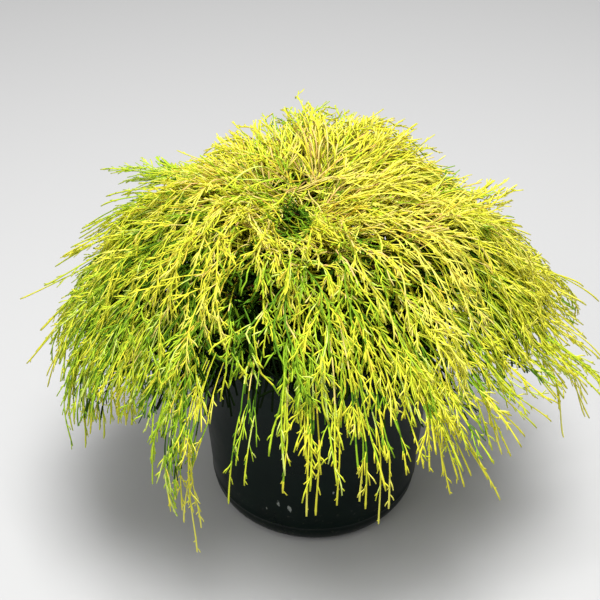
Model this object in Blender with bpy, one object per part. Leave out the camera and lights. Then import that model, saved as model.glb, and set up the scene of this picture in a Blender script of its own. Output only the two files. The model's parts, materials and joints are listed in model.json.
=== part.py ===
"""Golden thread-leaf sawara cypress (mop form) in a round nursery pot.

Units are metres, +Z is up and the origin is the centre of the pot's flat
underside.  The plant is a low mound: shoots rise from a short stem, arch over
at the shoulder and hang down round the pot like a mop.  The mound's outside is
one meridian curve, made wider or narrower with azimuth; every mass of foliage
is a rounded, uneven block cut out of the shell under that surface, so that no
two masses touch and the space under the skirt stays open.
"""
import math

import bmesh
import bpy
import numpy as np
from mathutils import Vector
from mathutils.bvhtree import BVHTree

MM = 0.001

# ---------------------------------------------------------------- pot
POT_HEIGHT = 215 * MM
POT_WALL = 2.2 * MM
POT_BASE_R = 88 * MM          # flat underside
POT_HEEL_R = 100 * MM         # top of the rounded heel
POT_HEEL_H = 20 * MM
POT_NECK_R = 110 * MM         # body radius just under the rim band
POT_RIM_R = 115.5 * MM        # outside of the rim band
POT_RIM_H = 23 * MM
POT_SIDES = 72

# ---------------------------------------------------------------- growing mix
MIX_TOP = 188 * MM
MIX_GAP = 0.4 * MM
MIX_SIDES = 36

# ---------------------------------------------------------------- stem and boughs
STEM_BASE_R = 9.5 * MM
STEM_TOP_R = 6.6 * MM
STEM_FLARE = 6.5 * MM
STEM_TOP = 264 * MM
STEM_LEAN = (6 * MM, 4 * MM)
BOUGH_R = (3.4 * MM, 1.7 * MM)
BOUGH_GAP = 1.2 * MM

# ---------------------------------------------------------------- mound
# meridian of the outer surface, radius and height, from the hollow in the
# middle of the crown over the shoulder and down to the lowest tips
MERIDIAN = [(0, 316), (35, 327), (68, 337), (100, 337), (133, 322), (163, 297), (188, 266),
            (209, 235), (224, 203), (231, 170), (230, 138), (225, 105), (218, 72)]
WIDE_MEAN, WIDE_SIDE, WIDE_OVAL = 0.945, 0.020, 0.055
BACK_RISE = 12 * MM           # the crown stands a little higher at the back
FLANK_IN = 0.085              # its two flanks there draw in by this share
FLANK_DROP = 9 * MM           # and sink this much
SIDE_SHIFT = 10 * MM          # and leans this far to the right
MOUND_AT = (-4 * MM, -12 * MM)   # the mound hangs a little more over the front of the pot
# where the surface stands out or draws in: azimuth, arc length, reach round and down it, height
SWELLS = [(12, 176 * MM, 17, 46 * MM, -15 * MM), (150, 138 * MM, 13, 42 * MM, -12 * MM),
          (176, 224 * MM, 6, 30 * MM, -9 * MM), (52, 112 * MM, 18, 30 * MM, 8 * MM),
          (352, 262 * MM, 14, 40 * MM, -8 * MM), (328, 250 * MM, 12, 36 * MM, -8 * MM)]
UNEVEN = 7 * MM
SQUARE = 8.0                 # how square the rounded blocks are, 2 is a ball

CROWN_R = (26 * MM, 96 * MM)
SHOULDER_R = (100 * MM, 186 * MM)
SKIRT_R = 190 * MM
CROWN_THICK = 34 * MM
SHOULDER_THICK = 36 * MM
SKIRT_THICK = (32 * MM, 12 * MM)
CROWN_COUNT, CROWN_FIRST, CROWN_HALF = 6, 315.0, 27.0
SHOULDER_COUNT, SHOULDER_FIRST, SHOULDER_HALF = 8, 265.5, 20.8

# hanging masses: azimuth of the middle, half width, height of the lowest tip
SKIRTS = [(15, 13.2, 140), (346, 12.4, 134), (318, 12.0, 119), (296, 8.6, 148), (278, 8.0, 137),
          (264, 4.6, 150), (240, 8.6, 86), (223, 7.0, 138), (203, 11.0, 113), (180, 10.4, 138),
          (157, 11.0, 142), (133, 11.4, 138), (109, 11.0, 136), (86, 10.4, 132), (63, 11.0, 136),
          (38.5, 9.5, 140)]

# loose sprigs: name, azimuth and meridian radius or height of the foot, tip
SPRIG_GAP = 0.8 * MM
SPRIGS = [
    ("sprig_top", 93, ("r", 104), (-13, 120, 358)),
    ("sprig_right_back", 31, ("r", 178), (191, 92, 287)),
    ("sprig_right", 1, ("z", 238), (258, 2, 215)),
    ("sprig_right_front", 344, ("z", 176), (246, -60, 132)),
    ("sprig_left_back", 150, ("r", 164), (-199, 121, 283)),
    ("sprig_left", 178, ("z", 240), (-258, 2, 217)),
    ("sprig_left_front", 186, ("z", 205), (-252, -31, 170)),
    ("sprig_back", 104, ("z", 258), (-52, 222, 240)),
]


def scene_clear():
    for obj in list(bpy.data.objects):
        bpy.data.objects.remove(obj, do_unlink=True)


def material(name, colour, roughness):
    mat = bpy.data.materials.new(name)
    mat.use_nodes = True
    bsdf = mat.node_tree.nodes["Principled BSDF"]
    bsdf.inputs["Base Color"].default_value = (*colour, 1.0)
    bsdf.inputs["Roughness"].default_value = roughness
    mat.diffuse_color = (*colour, 1.0)
    return mat


def add(name, verts, faces, mat, smooth=True):
    mesh = bpy.data.meshes.new(name)
    mesh.from_pydata([tuple(v) for v in verts], [], [tuple(f) for f in faces])
    bm = bmesh.new()
    bm.from_mesh(mesh)
    bmesh.ops.recalc_face_normals(bm, faces=bm.faces)
    if bm.calc_volume(signed=True) < 0:
        bmesh.ops.reverse_faces(bm, faces=bm.faces)
    bm.to_mesh(mesh)
    bm.free()
    mesh.materials.append(mat)
    if smooth:
        mesh.shade_smooth()
        mesh.set_sharp_from_angle(angle=math.radians(35))
    obj = bpy.data.objects.new(name, mesh)
    bpy.context.scene.collection.objects.link(obj)
    return obj


def turned(name, profile, sides, mat, bump=None):
    """Closed turned solid: the profile runs from the axis at the bottom, out,
    up and back to the axis."""
    verts, faces = [], []
    rows = []
    for r, z in profile:
        if r < 1e-9:
            rows.append([len(verts)])
            verts.append((0.0, 0.0, z))
            continue
        row = []
        for i in range(sides):
            a = 2 * math.pi * i / sides
            h = z + (bump(r, a) if bump and z > MIX_TOP - 0.5 * MM else 0.0)
            row.append(len(verts))
            verts.append((r * math.cos(a), r * math.sin(a), h))
        rows.append(row)
    for lo, hi in zip(rows, rows[1:]):
        for i in range(sides):
            j = (i + 1) % sides
            if len(lo) == 1:
                faces.append((lo[0], hi[j], hi[i]))
            elif len(hi) == 1:
                faces.append((lo[i], lo[j], hi[0]))
            else:
                faces.append((lo[i], lo[j], hi[j], hi[i]))
    return add(name, verts, faces, mat)


def tube(name, path, radii, sides, mat, lobes=None):
    """Tapering limb along a path, closed by flat caps square to the path, or
    level when the path starts upright."""
    verts, faces = [], []
    pts = [Vector(p) for p in path]
    up = Vector((0.0, 0.0, 1.0))
    side = None
    for k, (p, r) in enumerate(zip(pts, radii)):
        d = (pts[min(k + 1, len(pts) - 1)] - pts[max(k - 1, 0)]).normalized()
        if k == 0:
            d = (pts[1] - pts[0]).normalized()
        if lobes:
            d = up.copy()
        if side is None:
            ref = up if abs(d.dot(up)) < 0.9 else Vector((1.0, 0.0, 0.0))
            side = d.cross(ref).normalized()
        side = (side - d * side.dot(d)).normalized()
        other = d.cross(side).normalized()
        for i in range(sides):
            a = 2 * math.pi * i / sides
            rr = r + (lobes(a, p.z) if lobes else 0.0)
            verts.append(p + side * (rr * math.cos(a)) + other * (rr * math.sin(a)))
    n = len(pts)
    for k in range(n - 1):
        for i in range(sides):
            j = (i + 1) % sides
            faces.append((k * sides + i, k * sides + j, (k + 1) * sides + j, (k + 1) * sides + i))
    faces.append(tuple(range(sides)))
    faces.append(tuple((n - 1) * sides + i for i in range(sides)))
    return add(name, verts, faces, mat)


# ---------------------------------------------------------------- meridian
def catmull(points, per=12):
    p = np.array(points, dtype=float)
    p = np.vstack([2 * p[0] - p[1], p, 2 * p[-1] - p[-2]])
    out = []
    for i in range(1, len(p) - 2):
        for k in range(per):
            u = k / per
            out.append(0.5 * (2 * p[i] + (p[i + 1] - p[i - 1]) * u
                              + (2 * p[i - 1] - 5 * p[i] + 4 * p[i + 1] - p[i + 2]) * u ** 2
                              + (3 * p[i] - p[i - 1] - 3 * p[i + 1] + p[i + 2]) * u ** 3))
    out.append(p[-2])
    return np.array(out)


CURVE = catmull(MERIDIAN) * MM
STEPS = np.concatenate([[0.0], np.cumsum(np.hypot(*np.diff(CURVE, axis=0).T))])
ARC = STEPS / STEPS[-1]
TANGENT = np.gradient(CURVE, ARC, axis=0)
TANGENT /= np.linalg.norm(TANGENT, axis=1)[:, None]
TOP_AT = int(np.argmax(CURVE[:, 1]))


def at_radius(r):
    """Arc parameter where the upper part of the meridian has this radius."""
    last = int(np.argmax(CURVE[:, 0]))
    return float(np.interp(r, CURVE[:last, 0], ARC[:last]))


def at_height(z):
    """Arc parameter where the falling part of the meridian has this height."""
    return float(np.interp(-z, -CURVE[TOP_AT:, 1], ARC[TOP_AT:]))


def wide(azimuth):
    return WIDE_MEAN + WIDE_SIDE * math.cos(azimuth) + WIDE_OVAL * math.cos(2 * azimuth)


def mound(azimuth, t, w):
    """Point on the mound: azimuth in radians, arc parameter, and height above
    the outer surface along its normal (negative is inside)."""
    r = float(np.interp(t, ARC, CURVE[:, 0]))
    z = float(np.interp(t, ARC, CURVE[:, 1]))
    tr = float(np.interp(t, ARC, TANGENT[:, 0]))
    tz = float(np.interp(t, ARC, TANGENT[:, 1]))
    flank = max(0.0, math.sin(azimuth)) * abs(math.sin(2 * azimuth))
    for at, arc, turn_reach, arc_reach, height in SWELLS:
        turn = (azimuth - math.radians(at) + math.pi) % (2 * math.pi) - math.pi
        w += height * math.exp(-(turn / math.radians(turn_reach)) ** 2
                               - ((t * STEPS[-1] - arc) / arc_reach) ** 2)
    rho = r * wide(azimuth) * (1 - FLANK_IN * flank) - w * tz
    z += (BACK_RISE * math.sin(azimuth) - FLANK_DROP * flank) * math.sin(math.pi * min(1.0, t / 0.75))
    return Vector((rho * math.cos(azimuth) + SIDE_SHIFT * (1 - t) ** 1.2 + MOUND_AT[0],
                   rho * math.sin(azimuth) + MOUND_AT[1], z + w * tr))


def ripple(seed, u, v):
    """Smooth unevenness between -1 and 1, different for each mass."""
    s = 0.0
    for k in range(1, 4):
        a = 1.7 * k + 0.9 * seed
        b = 2.3 * k - 1.3 * seed
        s += math.sin(1.9 * k * u + a) * math.cos(1.6 * k * v + b) / k
    return s / 1.6


def lump(name, azimuth, half, t0, t1, thick0, thick1, cells, seed, mat, tongue=0.0, lift=0.0):
    """Rounded block of the shell, thick0 deep at its upper end and thick1 at
    its lower end.  With a tongue, its lower part narrows to a blunt tip."""
    nu, nv, nw = cells
    index, verts, faces = {}, [], []

    def vertex(i, j, k):
        key = (i, j, k)
        if key in index:
            return index[key]
        a, b, c = 2 * i / nu - 1, 2 * j / nv - 1, 2 * k / nw - 1
        m = SQUARE
        norm = (abs(a) ** m + abs(b) ** m + abs(c) ** m) ** (1 / m)
        a, b, c = a / norm, b / norm, c / norm
        v = (b + 1) / 2
        narrow = 1.0
        if tongue:
            q = max(0.0, (v - 0.45) / 0.55)
            narrow = 1.0 - tongue * q ** 1.5
        skew = 0.10 * math.sin(2.6 * v + seed) * v
        th = azimuth + half * (a * narrow * (1 - abs(skew)) + skew)
        t = t0 + (t1 - t0) * v
        if tongue:
            t -= (t1 - t0) * 0.07 * max(0.0, ripple(seed + 3, 5 * a, 0.0)) * v ** 2
        thick = thick0 + (thick1 - thick0) * v
        top = lift + UNEVEN * 0.5 * ripple(seed, 2.4 * a, 2.4 * b) * (0.6 + 0.4 * (1 - v)) - UNEVEN * 0.5
        w = top - thick * (1 - c) / 2
        index[key] = len(verts)
        verts.append(mound(th, t, w))
        return index[key]

    def quad(*keys):
        faces.append(tuple(vertex(*key) for key in keys))

    for j in range(nv):
        for i in range(nu):
            quad((i, j, 0), (i + 1, j, 0), (i + 1, j + 1, 0), (i, j + 1, 0))
            quad((i, j, nw), (i, j + 1, nw), (i + 1, j + 1, nw), (i + 1, j, nw))
    for k in range(nw):
        for i in range(nu):
            quad((i, 0, k), (i, 0, k + 1), (i + 1, 0, k + 1), (i + 1, 0, k))
            quad((i, nv, k), (i + 1, nv, k), (i + 1, nv, k + 1), (i, nv, k + 1))
        for j in range(nv):
            quad((0, j, k), (0, j + 1, k), (0, j + 1, k + 1), (0, j, k + 1))
            quad((nu, j, k), (nu, j, k + 1), (nu, j + 1, k + 1), (nu, j + 1, k))
    return add(name, verts, faces, mat)


# ---------------------------------------------------------------- build
def pot_profile():
    """Outer line up, over the rolled rim and down the inside."""
    line = [(0.0, 0.0), (POT_BASE_R, 0.0)]
    for k in range(1, 5):                              # rounded heel
        a = math.pi / 2 * k / 4
        line.append((POT_BASE_R + (POT_HEEL_R - POT_BASE_R) * math.sin(a),
                     POT_HEEL_H * (1 - math.cos(a))))
    neck_z = POT_HEIGHT - POT_RIM_H
    line += [(POT_NECK_R, neck_z),
             (POT_RIM_R - 1.2 * MM, neck_z + 0.6 * MM),
             (POT_RIM_R, neck_z + 2.0 * MM),
             (POT_RIM_R, POT_HEIGHT - 2.2 * MM),
             (POT_RIM_R - 1.0 * MM, POT_HEIGHT - 0.4 * MM),
             (POT_RIM_R - 2.4 * MM, POT_HEIGHT)]
    t = POT_WALL
    line += [(POT_RIM_R - 4.0 * MM, POT_HEIGHT - 1.2 * MM),
             (POT_RIM_R - 4.6 * MM, POT_HEIGHT - 4.0 * MM),
             (POT_NECK_R - t, neck_z - 2.0 * MM),
             (POT_HEEL_R - t, POT_HEEL_H + 1.0 * MM)]
    for k in (3, 2, 1):
        a = math.pi / 2 * k / 4
        line.append((POT_BASE_R - t + (POT_HEEL_R - POT_BASE_R) * math.sin(a),
                     t + (POT_HEEL_H - t) * (1 - math.cos(a))))
    line += [(POT_BASE_R - t, t), (0.0, t)]
    return line


def inner_radius(z):
    """Inside radius of the pot at a height between heel and neck."""
    z0, z1 = POT_HEEL_H + 1.0 * MM, POT_HEIGHT - POT_RIM_H - 2.0 * MM
    u = (z - z0) / (z1 - z0)
    return (POT_HEEL_R - POT_WALL) * (1 - u) + (POT_NECK_R - POT_WALL) * u


def mix_profile():
    g = MIX_GAP + 0.5 * MM          # chords of the two turned bodies differ a little
    z0 = POT_WALL + MIX_GAP
    return [(0.0, z0), (POT_BASE_R - POT_WALL - 4 * MM, z0),
            (POT_HEEL_R - POT_WALL - 5 * MM, POT_HEEL_H),
            (inner_radius(60 * MM) - g, 60 * MM),
            (inner_radius(MIX_TOP - 6 * MM) - g, MIX_TOP - 6 * MM),
            (inner_radius(MIX_TOP) - 3 * MM, MIX_TOP - 1 * MM),
            (70 * MM, MIX_TOP), (45 * MM, MIX_TOP), (24 * MM, MIX_TOP), (0.0, MIX_TOP)]


def mix_bump(r, a):
    if r < 30 * MM or r > 100 * MM:
        return 0.0
    return 1.6 * MM * math.sin(3 * a + 40 * r) * math.cos(2 * a - 55 * r)


def stem_centre(z):
    u = (z - MIX_TOP) / (STEM_TOP - MIX_TOP)
    return Vector((STEM_LEAN[0] * u ** 1.4, STEM_LEAN[1] * u ** 0.8, z))


def stem_radius(z):
    u = (z - MIX_TOP) / (STEM_TOP - MIX_TOP)
    return STEM_BASE_R + (STEM_TOP_R - STEM_BASE_R) * u


def build():
    scene_clear()
    plastic = material("nursery_plastic", (0.012, 0.014, 0.014), 0.42)
    soil = material("growing_mix", (0.055, 0.038, 0.026), 0.95)
    bark = material("bark", (0.23, 0.12, 0.07), 0.85)
    foliage = [material("foliage_%d" % i, c, 0.8) for i, c in enumerate(
        [(0.55, 0.62, 0.05), (0.42, 0.55, 0.05), (0.64, 0.60, 0.08)])]

    turned("pot", pot_profile(), POT_SIDES, plastic)
    turned("growing_mix", mix_profile(), MIX_SIDES, soil, mix_bump)

    # short stem: flat cut on the mix, five root lobes, slight lean
    z0 = MIX_TOP + 0.35 * MM
    heights = [z0, z0 + 5 * MM, z0 + 12 * MM, z0 + 24 * MM, z0 + 42 * MM, STEM_TOP - 3 * MM, STEM_TOP]

    def lobes(a, z):
        fall = math.exp(-(z - z0) / (7 * MM))
        return STEM_FLARE * fall * (0.55 + 0.45 * math.cos(5 * a + 0.6))

    radii = [stem_radius(z) for z in heights]
    radii[-1] *= 0.78
    tube("stem", [stem_centre(z) for z in heights], radii, 20, bark, lobes)

    # crown masses round the hollow, then the shoulder masses
    inner_ends = []
    for i in range(CROWN_COUNT):
        az = math.radians(CROWN_FIRST + 360 / CROWN_COUNT * i)
        lift = 4 * MM * math.sin(2.1 * i + 0.4)
        t0, t1 = at_radius(CROWN_R[0] + 3 * MM * math.cos(2 * i)), at_radius(CROWN_R[1])
        lump("crown_%d" % (i + 1), az, math.radians(CROWN_HALF), t0, t1, CROWN_THICK * 0.8, CROWN_THICK,
             (4, 4, 2), 1.3 * i + 0.7, foliage[i % 3], lift=lift)
        inner_ends.append(("high", az, (t0 + t1) / 2, lift - UNEVEN - CROWN_THICK))
    for i in range(SHOULDER_COUNT):
        az = math.radians(SHOULDER_FIRST + 360 / SHOULDER_COUNT * i)
        lift = 4 * MM * math.sin(1.7 * i + 1.1)
        t0, t1 = at_radius(SHOULDER_R[0]), at_radius(SHOULDER_R[1])
        lump("shoulder_%d" % (i + 1), az, math.radians(SHOULDER_HALF), t0, t1, SHOULDER_THICK,
             SKIRT_THICK[0], (5, 4, 2), 2.1 * i + 0.2, foliage[(i + 1) % 3], lift=lift)
        inner_ends.append(("low", az, t0 + (t1 - t0) * 0.35, lift - UNEVEN - SHOULDER_THICK))

    # skirt masses hang free round the space outside the pot
    t_top = at_radius(SKIRT_R)
    for i, (az, half, low) in enumerate(SKIRTS):
        lump("skirt_%d" % (i + 1), math.radians(az), math.radians(half), t_top, at_height(low * MM),
             SKIRT_THICK[0], SKIRT_THICK[1], (3, 6, 1), 1.1 * i + 0.5, foliage[(i + 2) % 3],
             tongue=0.72, lift=2 * MM * math.sin(1.9 * i))

    masses = []
    for obj in bpy.data.objects:
        if obj.name.startswith(("crown_", "shoulder_", "skirt_")):
            masses.append(BVHTree.FromPolygons([v.co.copy() for v in obj.data.vertices],
                                               [tuple(p.vertices) for p in obj.data.polygons]))

    # boughs: four low ones to shoulder masses, four high ones to crown masses
    low = [e for e in inner_ends if e[0] == "low"]
    high = [e for e in inner_ends if e[0] == "high"]
    chosen = [low[k] for k in (0, 2, 4, 6)] + [high[k] for k in (0, 2, 3, 5)]
    for i, (kind, az, t, w) in enumerate(chosen):
        end = mound(az, t, w - BOUGH_R[1] - 3.0 * MM)
        z = (228 if kind == "low" else 251) * MM
        c = stem_centre(z)
        out = Vector((math.cos(az), math.sin(az), 0.0))
        start = c + out * (stem_radius(z) + BOUGH_GAP)
        n = 7
        length = (end - start).length
        lead = start + out * (0.34 * length)
        rise = end - Vector((out.x * 0.30, out.y * 0.30, 0.28)) * length * 0.6
        path = []
        for k in range(n):
            u = k / (n - 1)
            p = ((1 - u) ** 3 * start + 3 * (1 - u) ** 2 * u * lead
                 + 3 * (1 - u) * u ** 2 * rise + u ** 3 * end)
            bend = math.sin(math.pi * u) * 2.2 * MM * math.sin(2.4 * i + 1)
            path.append(p + Vector((-out.y, out.x, 0.0)) * bend)
        radii = [BOUGH_R[0] + (BOUGH_R[1] - BOUGH_R[0]) * (k / (n - 1)) ** 0.8 for k in range(n)]
        tube("bough_%d" % (i + 1), path, radii, 8, bark)

    # loose sprigs: thin bent spindles whose foot rests on the nearest mass
    for i, (name, az, foot, tip) in enumerate(SPRIGS):
        azr = math.radians(az)
        t = at_radius(foot[1] * MM) if foot[0] == "r" else at_height(foot[1] * MM)
        near = mound(azr, t, 0.0)
        spots = [tree.find_nearest(near) for tree in masses]
        spot, normal, _, _ = min(spots, key=lambda s: s[3])
        base = spot + normal * SPRIG_GAP
        tip = Vector(tip) * MM + Vector((*MOUND_AT, 0.0))
        first = base + normal * 3 * MM
        span = (tip - first).length
        mid = first + normal * (0.30 * span) + (tip - first) * 0.22
        n = 6
        path = [base]
        for k in range(n):
            u = k / (n - 1)
            path.append((1 - u) ** 2 * first + 2 * u * (1 - u) * mid + u ** 2 * tip)
        radii = [2.4 * MM] + [(3.0 + 3.0 * math.sin(math.pi * min(1.0, 1.25 * k / (n - 1)))
                               - 1.6 * k / (n - 1)) * MM for k in range(n)]
        tube(name, path, radii, 6, foliage[i % 3])


build()
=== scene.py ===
"""Looks of the golden thread-leaf cypress in its nursery pot."""
import json
import math

import bmesh
import bpy
import numpy as np
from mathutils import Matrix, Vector, noise

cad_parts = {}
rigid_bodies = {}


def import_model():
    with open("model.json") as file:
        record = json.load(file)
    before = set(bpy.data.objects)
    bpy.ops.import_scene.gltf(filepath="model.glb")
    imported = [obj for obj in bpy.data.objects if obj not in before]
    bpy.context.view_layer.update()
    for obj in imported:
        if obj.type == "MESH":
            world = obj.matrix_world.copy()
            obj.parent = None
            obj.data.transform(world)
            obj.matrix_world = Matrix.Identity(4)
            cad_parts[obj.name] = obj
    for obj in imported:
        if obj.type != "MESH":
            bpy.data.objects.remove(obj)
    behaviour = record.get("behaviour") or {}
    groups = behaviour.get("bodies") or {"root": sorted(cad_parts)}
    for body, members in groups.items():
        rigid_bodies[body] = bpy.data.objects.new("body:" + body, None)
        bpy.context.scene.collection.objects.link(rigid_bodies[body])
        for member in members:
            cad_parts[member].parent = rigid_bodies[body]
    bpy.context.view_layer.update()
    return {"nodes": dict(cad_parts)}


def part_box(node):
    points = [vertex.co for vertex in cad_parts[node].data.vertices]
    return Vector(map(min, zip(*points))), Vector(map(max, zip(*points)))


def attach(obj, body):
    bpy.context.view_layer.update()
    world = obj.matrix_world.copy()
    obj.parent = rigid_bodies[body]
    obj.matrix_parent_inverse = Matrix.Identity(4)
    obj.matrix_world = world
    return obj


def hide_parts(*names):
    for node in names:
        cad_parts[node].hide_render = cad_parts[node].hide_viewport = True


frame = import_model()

MM = 0.001
DEG = math.pi / 180
SEED = 20417
rng = np.random.default_rng(SEED)
U = rng.random
G = rng.normal

# ------------------------------------------------------------------ thread tones


def srgb(r, g, b):
    def lin(c):
        c /= 255.0
        return c / 12.92 if c <= 0.04045 else ((c + 0.055) / 1.055) ** 2.4
    return (lin(r), lin(g), lin(b))


def principled(name, colour, rough, spec=0.5):
    mat = bpy.data.materials.new(name)
    mat.use_nodes = True
    b = mat.node_tree.nodes["Principled BSDF"]
    b.inputs["Base Color"].default_value = (*colour, 1.0)
    b.inputs["Roughness"].default_value = rough
    b.inputs["Specular IOR Level"].default_value = spec
    return mat


# eight steps from shaded to sunlit, then the warm feet of the threads and the twigs, a pale lime, and olive, the gold
# of the crown in painted shade; twig_dark, the colour of dark twigs, is also painted shade on shaded inner threads
TONES = [
    ("thread_shade", (14, 28, 4)),
    ("thread_deep", (46, 76, 8)),
    ("thread_green", (92, 138, 22)),
    ("thread_fresh", (140, 180, 34)),
    ("thread_lime", (182, 212, 46)),
    ("thread_bright", (210, 220, 52)),
    ("thread_yellow", (230, 226, 60)),
    ("thread_lemon", (240, 236, 96)),
    ("thread_gold", (234, 208, 70)),
    ("thread_straw", (236, 216, 122)),
    ("thread_peach", (238, 196, 122)),
    ("twig_tan", (160, 112, 60)),
    ("twig_brown", (76, 48, 26)),
    ("twig_dark", (16, 13, 7)),
    ("thread_pale_lime", (216, 232, 112)),
    ("thread_olive", (150, 148, 24)),
]
LEAF_MATS = [principled(n, srgb(*c), 0.6, 0.05 if max(c) < 80 else 0.2) for n, c in TONES]
(SHADE, DEEP, GREEN, FRESH, LIME, BRIGHT, YELLOW, LEMON, GOLD, STRAW, PEACH, TAN, BROWN, DARK, PALE,
 OLIVE) = range(16)

# ------------------------------------------------------------------ mound surface
# the same meridian as the solids: radius and height in millimetres
MERIDIAN = [(0, 316), (35, 327), (68, 337), (100, 337), (133, 322), (163, 297), (188, 266),
            (209, 235), (224, 203), (231, 170), (230, 138), (225, 105), (218, 72)]
BACK_RISE = 12.0
SIDE_SHIFT = 10.0
FLANK_IN = 0.085          # the two flanks at the back draw in and sink a little
FLANK_DROP = 9.0
POLE = (-18.0, 30.0)      # where the shoots radiate from, seen from above
MOUND_AT = (-4.0, -12.0)  # the mound hangs a little more over the front of the pot
# where the surface stands out or draws in: azimuth, arc length, reach of each, height
SWELLS = [(12, 176, 17, 46, -15.0), (150, 138, 13, 42, -12.0), (176, 224, 6, 30, -9.0), (52, 112, 18, 30, 8.0),
          (352, 262, 14, 40, -8.0), (328, 250, 12, 36, -8.0), (237, 64, 20, 24, -10.0),
          (22, 152, 22, 46, -13.0), (140, 166, 11, 28, -14.0), (8, 232, 13, 38, -8.0)]


def catmull(points, per=12):
    p = np.array(points, dtype=float)
    p = np.vstack([2 * p[0] - p[1], p, 2 * p[-1] - p[-2]])
    out = []
    for i in range(1, len(p) - 2):
        for k in range(per):
            u = k / per
            out.append(0.5 * (2 * p[i] + (p[i + 1] - p[i - 1]) * u
                              + (2 * p[i - 1] - 5 * p[i] + 4 * p[i + 1] - p[i + 2]) * u ** 2
                              + (3 * p[i] - p[i - 1] - 3 * p[i + 1] + p[i + 2]) * u ** 3))
    out.append(p[-2])
    return np.array(out)


CURVE = catmull(MERIDIAN)
STEP = np.concatenate([[0.0], np.cumsum(np.hypot(*np.diff(CURVE, axis=0).T))])
LENGTH = STEP[-1]
TANG = np.gradient(CURVE, STEP, axis=0)
TANG /= np.linalg.norm(TANG, axis=1)[:, None]
TOP_AT = int(np.argmax(CURVE[:, 1]))
WIDEST = int(np.argmax(CURVE[:, 0]))


def s_at_radius(r):
    return np.interp(r, CURVE[:WIDEST, 0], STEP[:WIDEST])


def s_at_height(z):
    return np.interp(-np.asarray(z, dtype=float), -CURVE[TOP_AT:, 1], STEP[TOP_AT:])


def r_at(s):
    return np.interp(s, STEP, CURVE[:, 0])


KICK_FROM = float(s_at_height(262.0))


def wide(az):
    return 0.945 + 0.020 * np.cos(az) + 0.055 * np.cos(2 * az)


def mound(az, s, w):
    """Points in millimetres from azimuth, arc length and height over the surface."""
    sc = np.clip(s, 0, LENGTH)
    r = np.interp(sc, STEP, CURVE[:, 0])
    z = np.interp(sc, STEP, CURVE[:, 1])
    tr = np.interp(sc, STEP, TANG[:, 0])
    tz = np.interp(sc, STEP, TANG[:, 1])
    over = np.maximum(s - LENGTH, 0.0)
    t = sc / LENGTH
    flank = np.maximum(0.0, np.sin(az)) * np.abs(np.sin(2 * az))
    for sa, ss, ra, rs, height in SWELLS:
        da = (az - sa * DEG + math.pi) % (2 * math.pi) - math.pi
        w = w + height * np.exp(-(da / (ra * DEG)) ** 2 - ((s - ss) / rs) ** 2)
    rho = r * wide(az) * (1 - FLANK_IN * flank) - w * tz
    z = z + (BACK_RISE * np.sin(az) - FLANK_DROP * flank) * np.sin(np.pi * np.minimum(1.0, t / 0.75))
    x = rho * np.cos(az) + SIDE_SHIFT * (1 - t) ** 1.2
    return np.stack([x + MOUND_AT[0], rho * np.sin(az) + MOUND_AT[1], z + w * tr - over], axis=-1)


def settle(az, s, pole=POLE):
    """From polar lines about the growing point to azimuth and arc length on the surface."""
    r = r_at(s) * wide(az)
    k = (1 - np.minimum(1.0, r / 225.0) ** 2) ** 2
    x = r * np.cos(az) + pole[0] * k
    y = r * np.sin(az) + pole[1] * k
    az2 = np.arctan2(y, x)
    s2 = np.where(s < STEP[WIDEST], s_at_radius(np.hypot(x, y) / wide(az2)), s)
    return az2, s2


def unit(v):
    return v / np.maximum(np.linalg.norm(v, axis=-1, keepdims=True), 1e-9)


def norm3(v):
    return v / max(1e-9, math.sqrt(v[0] * v[0] + v[1] * v[1] + v[2] * v[2]))


# hollows between the sprays: azimuth in degrees, arc length and radius in millimetres
GAPS = [(226, 45, 9), (242, 62, 13), (250, 80, 9), (230, 104, 9), (296, 90, 9), (238, 138, 13), (243, 160, 11),
        (247, 190, 8), (275, 86, 7),
        (282, 97, 7), (283, 177, 5), (300, 195, 6), (247, 273, 15), (250, 230, 12), (255, 226, 11),
        (227, 262, 11), (279, 267, 10), (288, 260, 12), (285, 226, 7), (278, 225, 6), (311, 234, 10),
        (239, 306, 7), (241, 266, 8), (315, 260, 7), (265, 290, 8), (272, 298, 6), (306, 266, 8),
        (308, 285, 7), (211, 298, 7), (235, 284, 7), (328, 266, 10), (258, 206, 7), (222, 210, 6),
        (270, 246, 8), (296, 240, 6)]
for i in range(34):                       # and of the same sizes round the sides nobody measured
    GAPS.append((-18 + 216 * ((i * 0.618) % 1.0) + 3 * G(), 112 + 173 * U(), 5 + 6 * U()))
GAP_AZ = np.array([g[0] for g in GAPS]) * DEG
GAP_S = np.array([g[1] for g in GAPS], dtype=float)
GAP_R = np.array([g[2] for g in GAPS], dtype=float)
GAP_P = mound(GAP_AZ, GAP_S, np.full(len(GAPS), -4.0))
# the first three are one pocket that runs back and down under the growing point
POCKET = np.array([5.0, 38.0, -27.0])


def part_round_gaps(az, s):
    """Strands flow round each hollow instead of crossing it."""
    r = np.maximum(10.0, r_at(s) * wide(az))
    d_az = (az[:, None] - GAP_AZ[None, :] + math.pi) % (2 * math.pi) - math.pi
    dx = d_az * r[:, None]
    ds = s[:, None] - GAP_S[None, :]
    half = np.sqrt(np.maximum(0.0, (1.9 * GAP_R[None, :]) ** 2 - ds ** 2)) / 1.9
    mid = int(np.argmin(np.min(np.hypot(dx, ds), axis=1)))
    sgn = np.where(dx[mid] >= 0, 1.0, -1.0)[None, :]
    ax = np.abs(dx)
    push = np.where(half > 0, (half ** 3 + ax ** 3) ** (1 / 3) - ax, 0.0) * sgn
    return az + push.sum(axis=1) / r, s


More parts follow.
